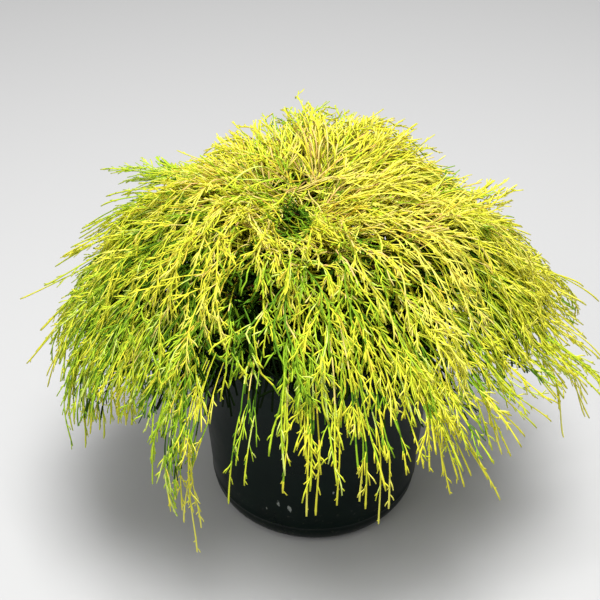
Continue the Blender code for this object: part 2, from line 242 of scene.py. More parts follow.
# ------------------------------------------------------------------ strands
class Strands:
    """Poly-lines collected for one kind of thread, meshed together."""

    def __init__(self):
        self.points, self.radii, self.normals, self.tones, self.sector, self.parent = [], [], [], [], [], []

    def add(self, pts, radii, normal, tones, sector, parent=-1):
        self.points.append(pts)
        self.radii.append(radii)
        self.normals.append(normal)
        self.tones.append(tones)
        self.sector.append(sector)
        self.parent.append(parent)

    def keep(self, mask):
        """Leave out the poly-lines that the mask leaves out."""
        for key in ("points", "radii", "normals", "tones", "sector", "parent"):
            setattr(self, key, [v for v, m in zip(getattr(self, key), mask) if m])


def mesh_strands(name, strands, pick, sides, mats, flat=0.85):
    """Tubes of a few sides along the poly-lines, each closed by a blunt tip."""
    counts = np.array([len(strands.points[k]) for k in pick])
    if len(counts) == 0:
        return None
    P = np.concatenate([strands.points[k] for k in pick]) * MM
    R = np.concatenate([strands.radii[k] for k in pick]) * MM
    tone_pt = np.concatenate([strands.tones[k] for k in pick])
    N = np.repeat(np.array([strands.normals[k] for k in pick]), counts, axis=0)
    first = np.concatenate([[0], np.cumsum(counts)[:-1]])
    ids = np.repeat(np.arange(len(pick)), counts)
    last = first + counts - 1
    T = np.zeros_like(P)
    T[1:-1] = P[2:] - P[:-2]
    T[first] = P[first + 1] - P[first]
    T[last] = P[last] - P[last - 1]
    T = unit(T)
    side = unit(np.cross(T, N))
    up = np.cross(side, T)
    ang = 2 * math.pi * (np.arange(sides) + 0.25) / sides
    V = (P[:, None, :] + R[:, None, None] * (np.cos(ang)[None, :, None] * side[:, None, :]
                                             + flat * np.sin(ang)[None, :, None] * up[:, None, :]))
    V = V.reshape(-1, 3)
    seg = np.flatnonzero(ids[1:] == ids[:-1])
    i = np.arange(sides)
    j = (i + 1) % sides
    a = seg[:, None] * sides + i[None, :]
    b = seg[:, None] * sides + j[None, :]
    c = (seg[:, None] + 1) * sides + j[None, :]
    d = (seg[:, None] + 1) * sides + i[None, :]
    F = np.stack([a, b, c, d], axis=-1).reshape(-1, 4)
    caps = np.concatenate([last[:, None] * sides + i[None, :],
                           first[:, None] * sides + i[None, ::-1]])
    tone = np.concatenate([np.repeat(tone_pt[seg], sides), tone_pt[last], tone_pt[first]])
    loops = np.concatenate([F.ravel(), caps.ravel()])
    totals = np.concatenate([np.full(len(F), 4), np.full(len(caps), sides)])
    starts = np.concatenate([[0], np.cumsum(totals)[:-1]])
    mesh = bpy.data.meshes.new(name)
    mesh.vertices.add(len(V))
    mesh.vertices.foreach_set("co", V.astype(np.float32).ravel())
    mesh.loops.add(len(loops))
    mesh.loops.foreach_set("vertex_index", loops.astype(np.int32))
    mesh.polygons.add(len(totals))
    mesh.polygons.foreach_set("loop_start", starts.astype(np.int32))
    mesh.polygons.foreach_set("loop_total", totals.astype(np.int32))
    for m in mats:
        mesh.materials.append(m)
    mesh.polygons.foreach_set("material_index", tone.astype(np.int32))
    mesh.polygons.foreach_set("use_smooth", np.ones(len(totals), dtype=bool))
    mesh.update(calc_edges=True)
    obj = bpy.data.objects.new(name, mesh)
    bpy.context.scene.collection.objects.link(obj)
    return obj


SECTORS = 8
leaders, laterals, forks, twigs = Strands(), Strands(), Strands(), Strands()
TWIG_FEET = []


def sector_of(az):
    return int(((az / (2 * math.pi)) % 1.0) * SECTORS) % SECTORS


# greener or yellower patches of the coat: azimuth, arc length, reach in millimetres, change of level
PATCHES = [(196, 112, 42, -0.1), (206, 150, 40, 0.0), (170, 88, 58, 1.1), (262, 172, 32, -1.7), (255, 215, 34, -1.2),
           (214, 262, 46, -0.7), (98, 84, 26, -0.6), (339, 168, 24, -0.8), (238, 262, 40, -0.8),
           (286, 190, 34, -0.9), (262, 120, 26, -0.7), (190, 200, 50, -0.5), (150, 168, 34, -1.0),
           (318, 150, 52, 0.5), (230, 120, 30, 0.6), (25, 120, 34, -0.6), (65, 180, 40, -0.7),
           (95, 112, 64, -1.2), (272, 250, 40, -0.5), (250, 172, 30, -0.3), (180, 228, 50, -0.4), (200, 250, 50, -0.4),
           (130, 150, 44, -0.5), (150, 230, 44, -0.7), (95, 240, 40, -0.5), (40, 250, 38, -0.6)]


def level_at(az, s, depth):
    """How far towards yellow a spray is, from its place on the mound and its depth in it; the darkening with depth is
    painted shade.
    """
    level = 5.25 + 0.55 * math.cos(az) + 0.30 * math.sin(3 * az + 0.021 * s + 1.0)
    level += 0.25 * math.sin(5 * az - 0.034 * s + 2.2)
    level += 0.9 * max(0.0, 1.0 - s / 130.0) - 0.45 * max(0.0, (s - 170.0) / 120.0)
    for pa, ps, reach, change in PATCHES:
        da = (az - pa * DEG + math.pi) % (2 * math.pi) - math.pi
        d2 = (da * max(20.0, float(r_at(ps)))) ** 2 + (s - ps) ** 2
        level += change * math.exp(-d2 / (reach * reach))
    left = 125 * DEG < az % (2 * math.pi) < 215 * DEG
    # sprays lying deeper get darker tones, less so in the crown and on the left flank: painted shade
    return level - max(0.0, depth - 6.0) / (9.0 if s < 120 or left else 6.0)


def tone(level):
    k = int(min(LEMON, max(SHADE, round(level + 0.24 * G()))))
    if k in (LIME, BRIGHT) and level < 5.0 and U() < 0.15:
        return PALE
    return k


def foot_tone(s, level):
    """Colour of the older, thinner foot of a thread."""
    warm = 0.85 if s < 60 else 0.70 if s < 120 else 0.34 if s < 200 else 0.18
    if level > 3.2 and U() < warm:
        if s > 105:
            return STRAW if U() < 0.45 else PALE if U() < 0.6 else GOLD
        return STRAW if U() < 0.45 else (GOLD if U() < 0.5 else PEACH)
    return tone(level - 1.3)


def stepped(start, direction, length, step, pull, strength, droop, wobble):
    """One shoot stepped in space: it turns towards the pull and sinks."""
    n = max(3, int(round(length / step)) + 1)
    step = length / (n - 1)
    p = start
    d = direction
    pts = np.empty((n, 3))
    pts[0] = p
    jitter = G(0, wobble, (n, 3))
    for k in range(1, n):
        d = d + strength * (pull - d) + jitter[k]
        d[2] -= droop
        d = norm3(d)
        p = p + d * step
        pts[k] = p
    return pts


def tooth(base, along, across, N, fs, length, tip_tone, sector, thick, droop, parent=-1):
    """A short side point of a thread, bent a little towards its tip."""
    phi = math.radians(15 + 23 * U())
    d = norm3(along * math.cos(phi) + across * (fs * math.sin(phi)) + N * G(0, 0.2))
    if length < 6.0:
        forks.add(np.array([base, base + d * length]), np.array([0.48, 0.60]) * thick, N,
                  np.full(2, tip_tone), sector, parent)
    else:
        mid_p = base + d * (length * 0.6)
        d2 = norm3(d * 0.7 + along * 0.35 + np.array([0, 0, -droop * 2.5]))
        forks.add(np.array([base, mid_p, mid_p + d2 * (length * 0.4)]),
                  np.array([0.42, 0.64, 0.50]) * thick, N, np.full(3, tip_tone), sector, parent)


def dress(pts, N, s, level, foot, sector, rad=(0.54, 0.70, 0.96), scale=1.0, spacing=9.0, bare=14.0,
          bare_end=9.0, angle=27.0, fork_rate=1.0, droop=0.03, thick=1.0, teeth_from=0.45, teeth=1.0,
          teeth_rate=0.85):
    """A leading thread with alternate side shoots, each with short teeth."""
    n = len(pts)
    T = unit(np.gradient(pts, axis=0))
    B = unit(np.cross(N, T))
    seglen = np.linalg.norm(np.diff(pts, axis=0), axis=1)
    arc = np.concatenate([[0], np.cumsum(seglen)])
    total = arc[-1]
    k = np.arange(n)
    bead = np.where(k % 2, 0.08, -0.06)
    r = np.interp(arc / total, [0, 0.35, 0.8, 1 - 3.0 / total, 1], [rad[0], rad[1], rad[1] * 1.1, rad[2], rad[2] * 0.7])
    cut = 0.38 + 0.3 * U() if s < 90 else 0.22 + 0.3 * U()
    tip = tone(level + 0.7)
    mid = tone(level)
    tl = np.full(n, mid)
    tl[:int(n * cut)] = foot
    tl[int(n * (0.62 + 0.2 * U())):] = tip
    leaders.add(pts, r * (1 + bead) * thick, N[n // 2], tl, sector)
    at = bare
    sgn = 1.0 if U() < 0.5 else -1.0
    while at < total - bare_end:
        i = max(0, min(n - 2, int(np.searchsorted(arc, at)) - 1))
        u = at / total
        base = pts[i] + (pts[i + 1] - pts[i]) * ((at - arc[i]) / max(seglen[i], 1e-6))
        length = min(1.0, 0.55 + 2.5 * u) * (0.25 + 0.75 * (1 - u) ** 0.75) * (9 + 47 * U() ** 1.4) * scale
        length = max(5.0, length)
        phi = math.radians(angle * (0.65 + 0.8 * U()))
        d = norm3(T[i] * math.cos(phi) + B[i] * (sgn * math.sin(phi)) + N[i] * (0.02 + G(0, 0.13)))
        lp = stepped(base, d, length, 7.0, T[i], 0.13, droop, 0.07)
        near = np.linalg.norm(GAP_P - lp[len(lp) // 2], axis=1) / GAP_R
        near2 = np.linalg.norm(GAP_P - lp[-1], axis=1) / GAP_R
        if min(near.min(), near2.min()) > 0.85:
            lv = level + (0.8 * G() if U() < 0.12 else 0.0)
            lt = tone(lv + 0.35)
            lf = tone(lv - 0.6) if U() < 0.55 else lt if U() < 0.6 else foot
            if s < 120 and lv > 3.5 and U() < 0.45:
                lf = STRAW if U() < 0.6 else GOLD
                if U() < 0.4:
                    lt = GOLD if U() < 0.5 else STRAW
            m = len(lp)
            bead = np.where(np.arange(m) % 2, 0.09, -0.07)
            lr = np.interp(np.linspace(0, 1, m), [0, 0.5, 0.9, 1], [0.42, 0.57, 0.78, 0.56]) * (1 + bead) * thick
            lt_line = np.full(m, lt)
            lt_line[:int(m * (0.25 + 0.25 * U()))] = lf
            laterals.add(lp, lr, N[i], lt_line, sector)
            LT = unit(np.gradient(lp, axis=0))
            fat = 3.0 + 3.5 * U()
            fs = sgn
            step = length / (m - 1)
            bare_tip = 2.5 + 4 * U()
            tip_tone = tone(lv + 0.75)
            while fat < length - bare_tip:
                if U() < fork_rate:
                    fi = min(m - 2, int(fat / step))
                    fl = (3.6 + 9.5 * U() ** 1.6) * (1 - 0.3 * fat / length)
                    fb = lp[fi] + (lp[fi + 1] - lp[fi]) * (fat / step - fi)
                    tooth(fb, LT[fi], np.cross(N[i], LT[fi]), N[i], fs, fl, tip_tone, sector, thick, droop,
                          len(laterals.points) - 1)
                fs = -fs
                fat += 4.4 + 4.6 * U()
        sgn = -sgn
        at += spacing * (0.7 + 0.6 * U())
    # antler-like points on the outer half of the leading thread
    at = max(bare, total * (teeth_from + 0.2 * U()))
    while at < total - 2.5:
        i = max(0, min(n - 2, int(np.searchsorted(arc, at)) - 1))
        if U() < teeth_rate:
            base = pts[i] + (pts[i + 1] - pts[i]) * ((at - arc[i]) / max(seglen[i], 1e-6))
            fl = (4.0 + 13.0 * U() ** 1.5) * min(1.0, 0.35 + 1.6 * (1 - at / total)) * teeth
            tooth(base, T[i], B[i], N[i], sgn, fl, tip, sector, thick, droop)
        sgn = -sgn
        at += 4.6 + 6.0 * U()


# the whole coat leans a little sideways as it falls: azimuth and lean in degrees
DRIFT = [(0, 8), (50, 3), (110, 0), (150, -4), (180, 2), (205, 12), (245, 11), (275, 4), (300, 8), (330, 11), (360, 8)]
# and kicks outwards near its tips, most on the open right side: azimuth and millimetres
KICK = [(0, 13), (40, 9), (90, 6), (150, 6), (200, 5), (240, 3), (275, 4), (300, 13), (325, 19), (345, 18), (360, 13)]


def drift_at(az):
    return float(np.interp(math.degrees(az) % 360, [a for a, _ in DRIFT], [d for _, d in DRIFT])) * DEG


def kick_at(az, s):
    k = float(np.interp(math.degrees(az) % 360, [a for a, _ in KICK], [d for _, d in KICK]))
    return k * np.clip((s - KICK_FROM) / 62.0, 0.0, 1.5) ** 1.5


def mound_path(az0, s0, yaw, length, depth, lift, nod, decay=95.0, wave=1.0, w0=None, step=6.5, pole=POLE):
    """Points and normals of a main shoot that follows the mound and arches."""
    n = max(5, int(length / step) + 1)
    l = np.linspace(0, length, n)
    h = length / (n - 1)
    psi = (yaw * np.exp(-l / decay) + 0.15 * wave * np.sin(l / 17.0 + 6.28 * U())
           + 0.07 * wave * np.sin(l / 7.5 + 6.28 * U()) + drift_at(az0) * min(1.0, 0.25 + s0 / 110.0))
    s = s0 + np.concatenate([[0], np.cumsum(np.cos(psi[:-1]) * h)])
    r = np.maximum(9.0, r_at(np.clip(s, 0, LENGTH)) * 0.945)
    az = az0 + np.concatenate([[0], np.cumsum(np.sin(psi[:-1]) * h / r[:-1])])
    az, s = settle(az, s, pole)
    az, s = part_round_gaps(az, s)
    rise = np.clip(l / 45.0, 0, 1)
    rise = rise * rise * (3 - 2 * rise)
    u = l / max(l[-1], 1.0)
    if w0 is None:
        w0 = -(depth + 16.0)
    w = w0 + (-depth - w0) * rise + lift * np.sin(math.pi * np.clip((u - 0.12) / 0.88, 0, 1) ** 1.1 * 0.86)
    w = w + 1.5 * wave * np.sin(l / 15.0 + 6.28 * U()) * rise + kick_at(az0, s)
    pts = mound(az, s, w)
    N = unit(mound(az, s, w + 1.0) - pts)
    pts[:, 2] -= nod * u ** 2.4
    return pts, N


# lower edge of the skirt between its fingers, azimuth in degrees, height in millimetres
EDGE = [(0, 200), (20, 190), (60, 190), (100, 192), (140, 188), (170, 184), (190, 180), (205, 180),
        (216, 214), (229, 222), (236, 204), (244, 222), (249, 262), (258, 262), (262, 228), (270, 222),
        (281, 226), (288, 240), (296, 232), (303, 220), (311, 220), (320, 222), (335, 214), (348, 204), (360, 200)]

# hanging fingers: azimuth, half width in degrees, lowest point in millimetres
FINGERS = [(2, 4.5, 184), (11, 5, 160), (20, 5, 150), (30, 5, 164), (40, 5, 146), (50, 5.5, 160),
           (61, 5, 140), (71, 5, 164), (81, 5, 142), (91, 5, 154), (101, 5, 168), (110, 5, 142),
           (120, 5, 162), (130, 5, 144), (140, 5, 164), (150, 5, 150), (159, 5, 162), (168, 5, 146),
           (177, 5, 154), (185, 4.5, 160), (193, 4, 178), (200, 4, 164), (206, 5.5, 138), (213, 4.5, 174),
           (222, 4, 206), (228.5, 3.5, 208), (233, 3, 184), (239.5, 3.2, 140), (263, 2.4, 204),
           (267.8, 2.4, 190), (274, 2.6, 198), (279, 2.2, 206), (284, 2.2, 192), (289, 2.0, 232),
           (293, 2.4, 236), (300, 3.2, 196), (306, 3.2, 198), (313, 3.6, 200), (319, 3.2, 214),
           (325, 3.2, 210), (331, 3.2, 214), (337, 3.4, 184), (343, 3.6, 158), (350, 3.6, 180), (356, 3.4, 204)]


def edge_of(az):
    d = math.degrees(az) % 360
    return float(np.interp(d, [a for a, _ in EDGE], [z for _, z in EDGE]))


def style(s):
    """Feathery sprays and plain whips are mixed; the crown has long threads with short side shoots."""
    if s < 85:
        return dict(scale=0.62 + 0.35 * U(), spacing=7.6 + 2.8 * U(), bare_end=4.0 + 8 * U(), fork_rate=0.5,
                    angle=21.0, thick=0.86 + 0.2 * U(), teeth_from=0.66, teeth=0.75)
    if U() < 0.68:
        return dict(scale=0.80 + 0.3 * U(), spacing=7.8 + 2.8 * U(), bare_end=4.0 + 7 * U(),
                    fork_rate=0.95, thick=0.9 + 0.2 * U())
    return dict(scale=0.45 + 0.3 * U(), spacing=9.5 + 5 * U(), bare_end=16.0 + 26 * U(), fork_rate=0.75,
                thick=0.95 + 0.2 * U())


def fan(az0, s0, count, spread, length, depth, lift, nod, layer_level=0.0):
    """Several leading threads that spread from one twig."""
    front = math.exp(-(((math.degrees(az0) % 360) - 253.0) / 40.0) ** 2)
    if s0 > 80 and count > 2 and U() < 0.8 * front:
        count -= 1
    level = level_at(az0, s0, depth) + 0.75 * G() + layer_level
    # sprays of the crown rise from several places round the growing point
    off = 15.0 * max(0.0, 1.0 - s0 / 120.0)
    pole = (POLE[0] + G(0, off), POLE[1] + G(0, off)) if off > 0 else POLE
    p, n0 = mound_path(az0, s0, 0.0, 30.0, depth + 14, 0.0, 0.0, pole=pole)
    TWIG_FEET.append((p[0], az0))
    for j in range(count):
        yaw = math.radians(spread) * ((j - (count - 1) / 2) / max(1.0, (count - 1) / 2) + G(0, 0.3))
        ln = length * (0.7 + 0.45 * U())
        aj = az0 + G(0, 2.0) / max(12.0, r_at(s0))
        s_edge = float(s_at_height(edge_of(aj + drift_at(aj) * 0.5) + 14 * G()))
        ln = min(ln, s_edge - s0)
        if ln < 34:
            continue
        pts, N = mound_path(aj, s0 + 7 * U(), yaw, ln, depth + 4 * U() - 1, lift * (0.5 + U()), nod, wave=1.8,
                            pole=pole)
        lv = level + 0.25 * G()
        dress(pts, N, s0, lv, foot_tone(s0, lv), sector_of(aj), bare=5.0 if s0 < 60 else 12.0,
              droop=0.0 if s0 < 60 else 0.03, **style(s0))


def grow_mound():
    rings = [
        # fans, arc from, arc to, leaders in a fan, spread, length, depth, lift, nod
        (18, 4, 20, 5, 26, (60, 105), (5, 12), (2, 8), 0),
        (28, 20, 48, 5, 24, (65, 115), (4, 13), (2, 9), 2),
        (36, 46, 95, 4, 22, (75, 135), (2, 14), (2, 9), 6),
        (42, 95, 148, 3, 18, (80, 150), (0, 15), (2, 9), 8),
        (42, 148, 200, 3, 13, (65, 115), (0, 15), (2, 8), 4),
    ]
    for count, sa, sb, per, spread, (la, lb), (da, db), (fa, fb), nod in rings:
        for i in range(count):
            az0 = 2 * math.pi * (i + 0.32 * G()) / count + 0.7 * sa
            fan(az0, sa + (sb - sa) * U(), per, spread, la + (lb - la) * U(), da + (db - da) * U() ** 1.2,
                fa + (fb - fa) * U(), nod * (0.5 + U()))
    # a second layer below: golden in the crown, greener further down
    for i in range(96):
        az0 = i * 2.39996 + G(0, 0.05)
        s0 = 4 + 90 * U() if i % 2 else 60 + 130 * U()
        fan(az0 % (2 * math.pi), s0, 3, 18, 80 + 50 * U(), (11 if s0 < 90 else 16) + 8 * U(), 0.0, 0.0,
            -0.2 if s0 < 90 else -0.5)
    # and a third one, green, where the flanks are seen through
    for i in range(56):
        az0 = (138 + 92 * ((i * 0.618) % 1.0) if i % 3 else 316 + 70 * U()) * DEG
        fan(az0 % (2 * math.pi), 130 + 95 * U(), 3, 16, 60 + 40 * U(), 14 + 9 * U(), 0.0, 0.0, 1.4 if i % 3 else 0.4)


def grow_fingers():
    for fa, half, low in FINGERS:
        count = max(3, int(round(half * 1.5)))
        level0 = level_at(fa * DEG, 260.0, 0.0) + 0.55 * G()
        for j in range(count):
            d = half * (2 * (j + 0.5) / count - 1 + 0.25 * G())
            front = j % 3 != 0
            depth = 1 + 6 * U() if front else 8 + 9 * U()
            s0 = 150 + 70 * U()
            reach = 0.0 if j == count // 2 else 26 * (abs(d) / half) ** 1.4 + 24 * U()
            z_end = low + reach + (8 if not front else 0)
            s1 = float(s_at_height(z_end))
            s0 = min(s0, s1 - 40.0)
            n = int((s1 - s0) / 6.0) + 1
            u = np.linspace(0, 1, n)
            l = u * (s1 - s0)
            az = (fa + d * (1.35 - 0.85 * u ** 0.8)) * DEG
            az = az - drift_at(fa * DEG) * (s1 - s0) / 215.0 * (1 - u)
            az = az + 0.007 * np.sin(l / 21.0 + 6.28 * U())
            s = s0 + l
            rise = np.clip(l / 40.0, 0, 1) ** 0.7
            w = -(depth + 14) * (1 - rise) - depth * rise + 4 * np.sin(l / 21.0 + 6.28 * U()) * rise * (1 - u)
            w = w + kick_at(fa * DEG, s)
            pts = mound(az, s, w)
            N = unit(mound(az, s, w + 1.0) - pts)
            # threads lying deeper get darker tones: painted shade
            lv = level0 + 0.3 * G() - max(0.0, depth - 6) / 8
            if U() < 0.7:
                st = dict(scale=0.72 + 0.35 * U(), spacing=8.6 + 3.4 * U(), bare_end=3 + 6 * U(), fork_rate=0.85,
                          teeth_rate=0.55)
            else:
                st = dict(scale=0.45 + 0.3 * U(), spacing=10.0 + 6 * U(), bare_end=18 + 22 * U(), fork_rate=0.7,
                          teeth_rate=0.5)
            dress(pts, N, s0, lv, foot_tone(s0, lv), sector_of(fa * DEG), angle=21.0, droop=0.05, **st)


def hermite(a, ta, b, tb, n):
    t = np.linspace(0, 1, n)[:, None]
    return ((2 * t ** 3 - 3 * t ** 2 + 1) * a + (t ** 3 - 2 * t ** 2 + t) * ta
            + (-2 * t ** 3 + 3 * t ** 2) * b + (t ** 3 - t ** 2) * tb)


def whip(az, s, tip, out=0.0, level=5.5, scale=0.5, spacing=11.0, bare=14.0, bare_end=26.0, mates=2,
         fork_rate=0.8, w=-3.0, angle=24.0, start=0.8, end=0.7, foot=None, up=0.0, thick=1.0):
    """A named loose shoot from its foot on the mound to its tip, with a few shorter mates."""
    az = az * DEG
    a = mound(np.array([az]), np.array([s]), np.array([w]))[0]
    b0 = mound(np.array([az]), np.array([s + 4.0]), np.array([w]))[0]
    nrm = unit(mound(np.array([az]), np.array([s]), np.array([w + 1.0]))[0] - a)
    down = unit(b0 - a)
    tip = np.array(tip, dtype=float) + [MOUND_AT[0], MOUND_AT[1], 0.0]
    # the part of the shoot that comes down through the coat
    back = 10.0 if up > 0.6 else min(58.0, 0.8 * s)
    bl = np.linspace(-back, 0.0, 9 if up <= 0.6 else 3)[:-1]
    lead_in = mound(az - drift_at(az) * bl / -190.0, s + bl, w - 15.0 * (bl / -back) ** 1.5)
    for m in range(mates + 1):
        shrink = 1.0 if m == 0 else 0.62 + 0.28 * U()
        off = np.zeros(3) if m == 0 else G(0, 4.5, 3)
        foot_p = a + (np.zeros(3) if m == 0 else G(0, 3.0, 3))
        goal = a + (tip - a) * shrink + off
        span = np.linalg.norm(goal - foot_p)
        ta = norm3(down * 1.0 + nrm * (0.35 + up)) * span * start
        tb = norm3(np.array([out * math.cos(az), out * math.sin(az), -1.0 + 1.2 * max(0.0, up)]))
        if up <= 0 and out >= 0.4:
            tb = norm3(tb * 0.3 + (goal - foot_p) / span)
        tb = tb * span * end
        n = max(6, int(span / 5.5) + 1)
        pts = hermite(foot_p, ta, goal, tb, n)
        pts = np.vstack([lead_in + (foot_p - a), pts])
        n = len(pts)
        T = unit(np.gradient(pts, axis=0))
        B = unit(np.cross(np.repeat((nrm + np.array([0, 0, 0.05]))[None], n, axis=0), T))
        N = np.cross(T, B)
        lv = level + 0.25 * G()
        dress(pts, N, s, lv, foot_tone(s, lv + 0.6) if foot is None else foot, sector_of(az), scale=scale * 1.45,
              spacing=spacing * 1.05, bare=bare + (0.2 if up <= 0 else 0.6) * back,
              bare_end=bare_end if m == 0 else 14.0, fork_rate=fork_rate, angle=angle * 0.8,
              droop=0.04 if up <= 0 else 0.0, rad=(0.50, 0.70, 1.0), thick=thick * (0.9 + 0.15 * U()),
              teeth_from=0.6 if bare_end < 30 else 0.8, teeth_rate=0.45)


def S_R(r):
    return float(s_at_radius(r))


def S_H(z):
    return float(s_at_height(z))


def grow_whips():
    # tuft that stands over the back of the crown
    for az, s, tip, lv in ((96, S_R(64), (-14, 121, 355), 5.0), (101, S_R(70), (-23, 117, 345), 4.6),
                           (90, S_R(66), (-4, 124, 347), 5.2), (84, S_R(60), (10, 112, 341), 5.8)):
        whip(az, s, tip, level=lv, scale=0.32, bare=20, bare_end=5, mates=2, up=0.7, start=0.9, end=0.5, angle=24,
             spacing=8.0)
    # loose sprigs round the outline
    for az, tip in ((14, (185, 74, 293)), (20, (166, 82, 293)), (12, (182, 73, 278)), (17, (176, 80, 287))):
        whip(az, S_R(158), tip, out=1.0, level=5.8, scale=0.34, bare=12, bare_end=3, mates=0, up=1.25, spacing=6.0,
             start=0.6, end=0.6, thick=1.1)
    whip(17, S_R(176), (200, 58, 250), out=0.8, level=6.0, mates=1)
    whip(12, S_R(184), (205, 46, 240), out=0.7, level=5.6, mates=1)
    whip(3, S_R(190), (255, 2, 216), out=0.55, level=5.8, scale=0.3, bare=20, bare_end=48, mates=1, up=0.25)
    whip(0, S_R(196), (240, -12, 222), out=0.6, level=6.2, mates=1)
    whip(353, S_H(240), (241, -26, 196), out=0.5, level=5.6, mates=1)
    whip(346, S_H(230), (242, -60, 135), out=0.75, level=6.2, scale=0.3, bare_end=46, mates=0)
    whip(343, S_H(226), (236, -73, 172), out=0.75, level=6.0, scale=0.4, bare_end=30, mates=0)
    whip(341, S_H(222), (238, -83, 154), out=0.75, level=6.0, scale=0.35, bare_end=38, mates=1)
    whip(336, S_H(222), (214, -98, 146), out=0.7, level=6.0, scale=0.4, bare_end=30, mates=1)
    whip(149, S_R(146), (-197, 120, 283), out=1.0, level=3.8, scale=0.6, bare=10, bare_end=8, up=0.45, mates=3,
         spacing=7.0)
    for az, tip in ((145, (-145, 124, 294)), (147, (-137, 118, 288)), (142, (-152, 121, 286)), (146, (-160, 120, 280))):
        whip(az, S_R(144), tip, out=0.4, level=3.7, scale=0.5, bare=8, bare_end=3, mates=3, up=1.2, spacing=5.0,
             start=0.6, end=0.6, thick=1.15, foot=PALE)
    whip(146, S_R(156), (-178, 124, 268), out=1.0, level=3.6, scale=0.6, bare=8, bare_end=6, up=0.3, mates=4,
         spacing=7.0)
    whip(154, S_R(160), (-190, 96, 268), out=1.0, level=4.2, scale=0.55, bare=8, bare_end=8, up=0.3, mates=3,
         spacing=8.5)
    whip(160, S_R(164), (-205, 76, 250), out=0.9, level=4.2, scale=0.5, bare_end=10, mates=3, up=0.15)
    whip(163, S_R(168), (-212, 60, 245), out=0.9, level=4.4, mates=4)
    whip(170, S_R(176), (-233, 42, 226), out=0.8, level=4.9, mates=4)
    whip(178, S_R(186), (-257, 0, 220), out=1.3, level=5.0, scale=0.28, bare_end=36, mates=1, up=0.3)
    whip(184, S_R(196), (-240, -14, 196), out=0.6, level=5.0, mates=2)
    whip(187, S_H(236), (-252, -31, 172), out=0.9, level=5.2, scale=0.3, bare_end=30, mates=1)
    whip(190, S_H(228), (-234, -42, 154), out=0.3, level=5.4, mates=2)
    whip(200, S_H(226), (-206, -76, 150), out=0.2, level=5.0, mates=2)
    whip(206, S_H(226), (-195, -94, 130), out=0.25, level=5.0, scale=0.4, bare_end=32)
    whip(203, S_H(240), (-196, -84, 160), out=0.5, level=4.6, scale=0.45, bare_end=20, mates=1)
    whip(207, S_H(236), (-188, -98, 150), out=0.5, level=4.8, scale=0.45, bare_end=20, mates=1)
    whip(210, S_H(236), (-178, -104, 160), out=0.5, level=4.4, scale=0.5, bare_end=12, mates=1)
    whip(232, S_H(226), (-127, -165, 158), out=0.1, level=3.4, scale=0.35, bare_end=36, mates=1)
    whip(236, S_H(222), (-110, -168, 170), out=0.1, level=3.2, scale=0.7, bare_end=8, mates=2)
    whip(239, S_H(226), (-104, -174, 138), out=0.1, level=5.8, scale=0.55, bare_end=14)
    whip(241, S_H(232), (-95, -172, 86), out=0.06, level=6.2, scale=0.36, bare=20, bare_end=52, mates=2)
    whip(251, S_H(248), (-65, -192, 164), out=0.1, level=4.2, scale=0.42, bare_end=18, mates=0, thick=0.85)
    whip(254.5, S_H(246), (-52, -196, 188), out=0.1, level=3.6, scale=0.5, bare_end=8, mates=0, thick=0.8)
    whip(252.5, S_H(250), (-58, -192, 205), out=0.1, level=3.4, scale=0.5, bare_end=8, mates=0, thick=0.8)
    whip(263, S_H(230), (-23, -200, 184), out=0.08, level=5.2, scale=0.4, bare_end=16, mates=0)
    whip(268, S_H(230), (-5, -201, 160), out=0.08, level=6.0, scale=0.36, bare_end=30, mates=0)
    whip(270.5, S_H(226), (2, -200, 160), out=0.08, level=6.2, scale=0.32, bare_end=30, mates=0)
    whip(275, S_H(230), (18, -201, 172), out=0.08, level=5.6, scale=0.42, bare_end=22, mates=0)
    whip(281, S_H(230), (40, -199, 166), out=0.1, level=5.6, scale=0.42, bare_end=20, mates=1)
    whip(284, S_H(232), (51, -196, 146), out=0.1, level=6.2, scale=0.3, bare_end=40, mates=0)
    whip(286, S_H(226), (58, -197, 164), out=0.1, level=6.0, scale=0.34, bare_end=26, mates=0)
    whip(289, S_H(236), (70, -194, 197), out=0.15, level=5.4, scale=0.45, bare_end=14, mates=0, thick=0.9)
    whip(292, S_H(236), (83, -190, 200), out=0.15, level=5.0, scale=0.45, bare_end=14, mates=0, thick=0.9)
    # a spray on the right of the front, whose threads spread as they fall
    for az, tip, lv, fork in ((295, (78, -192, 206), 5.4, 0.5), (296, (88, -189, 196), 5.8, 0.5),
                              (297, (92, -188, 212), 5.2, 0.5), (297, (107, -181, 163), 6.0, 0.3),
                              (298, (100, -184, 186), 6.2, 0.4), (298.5, (112, -180, 178), 5.8, 0.5),
                              (299, (118, -178, 168), 6.0, 0.4), (300, (124, -170, 172), 5.8, 0.4),
                              (301, (138, -168, 166), 5.6, 0.4), (302, (151, -164, 139), 6.2, 0.25)):
        whip(az + G(0, 0.6), S_H(252) + 8 * G(), tip, out=0.45, level=lv - 0.5, scale=fork,
             bare_end=14 if fork > 0.4 else 34, mates=0, spacing=9.0)
    for az, tip, lv in ((309, (140, -160, 190), 5.4), (310, (150, -152, 178), 5.8), (311, (159, -146, 170), 6.0),
                        (313, (170, -138, 184), 5.6), (315, (181, -128, 184), 5.8), (318, (195, -118, 182), 5.8),
                        (321, (200, -112, 196), 5.4), (327, (200, -104, 194), 5.6), (329, (206, -98, 186), 5.8),
                        (331, (210, -92, 184), 5.4), (334, (214, -84, 188), 5.8), (336, (216, -78, 198), 5.2)):
        whip(az + G(0, 0.6), S_H(246) + 8 * G(), tip, out=0.6, level=lv - 0.5, scale=0.36, bare_end=26, mates=0,
             spacing=9.0)
    whip(104, S_H(262), (-52, 219, 238), out=0.9, level=4.8, mates=2, up=0.2)


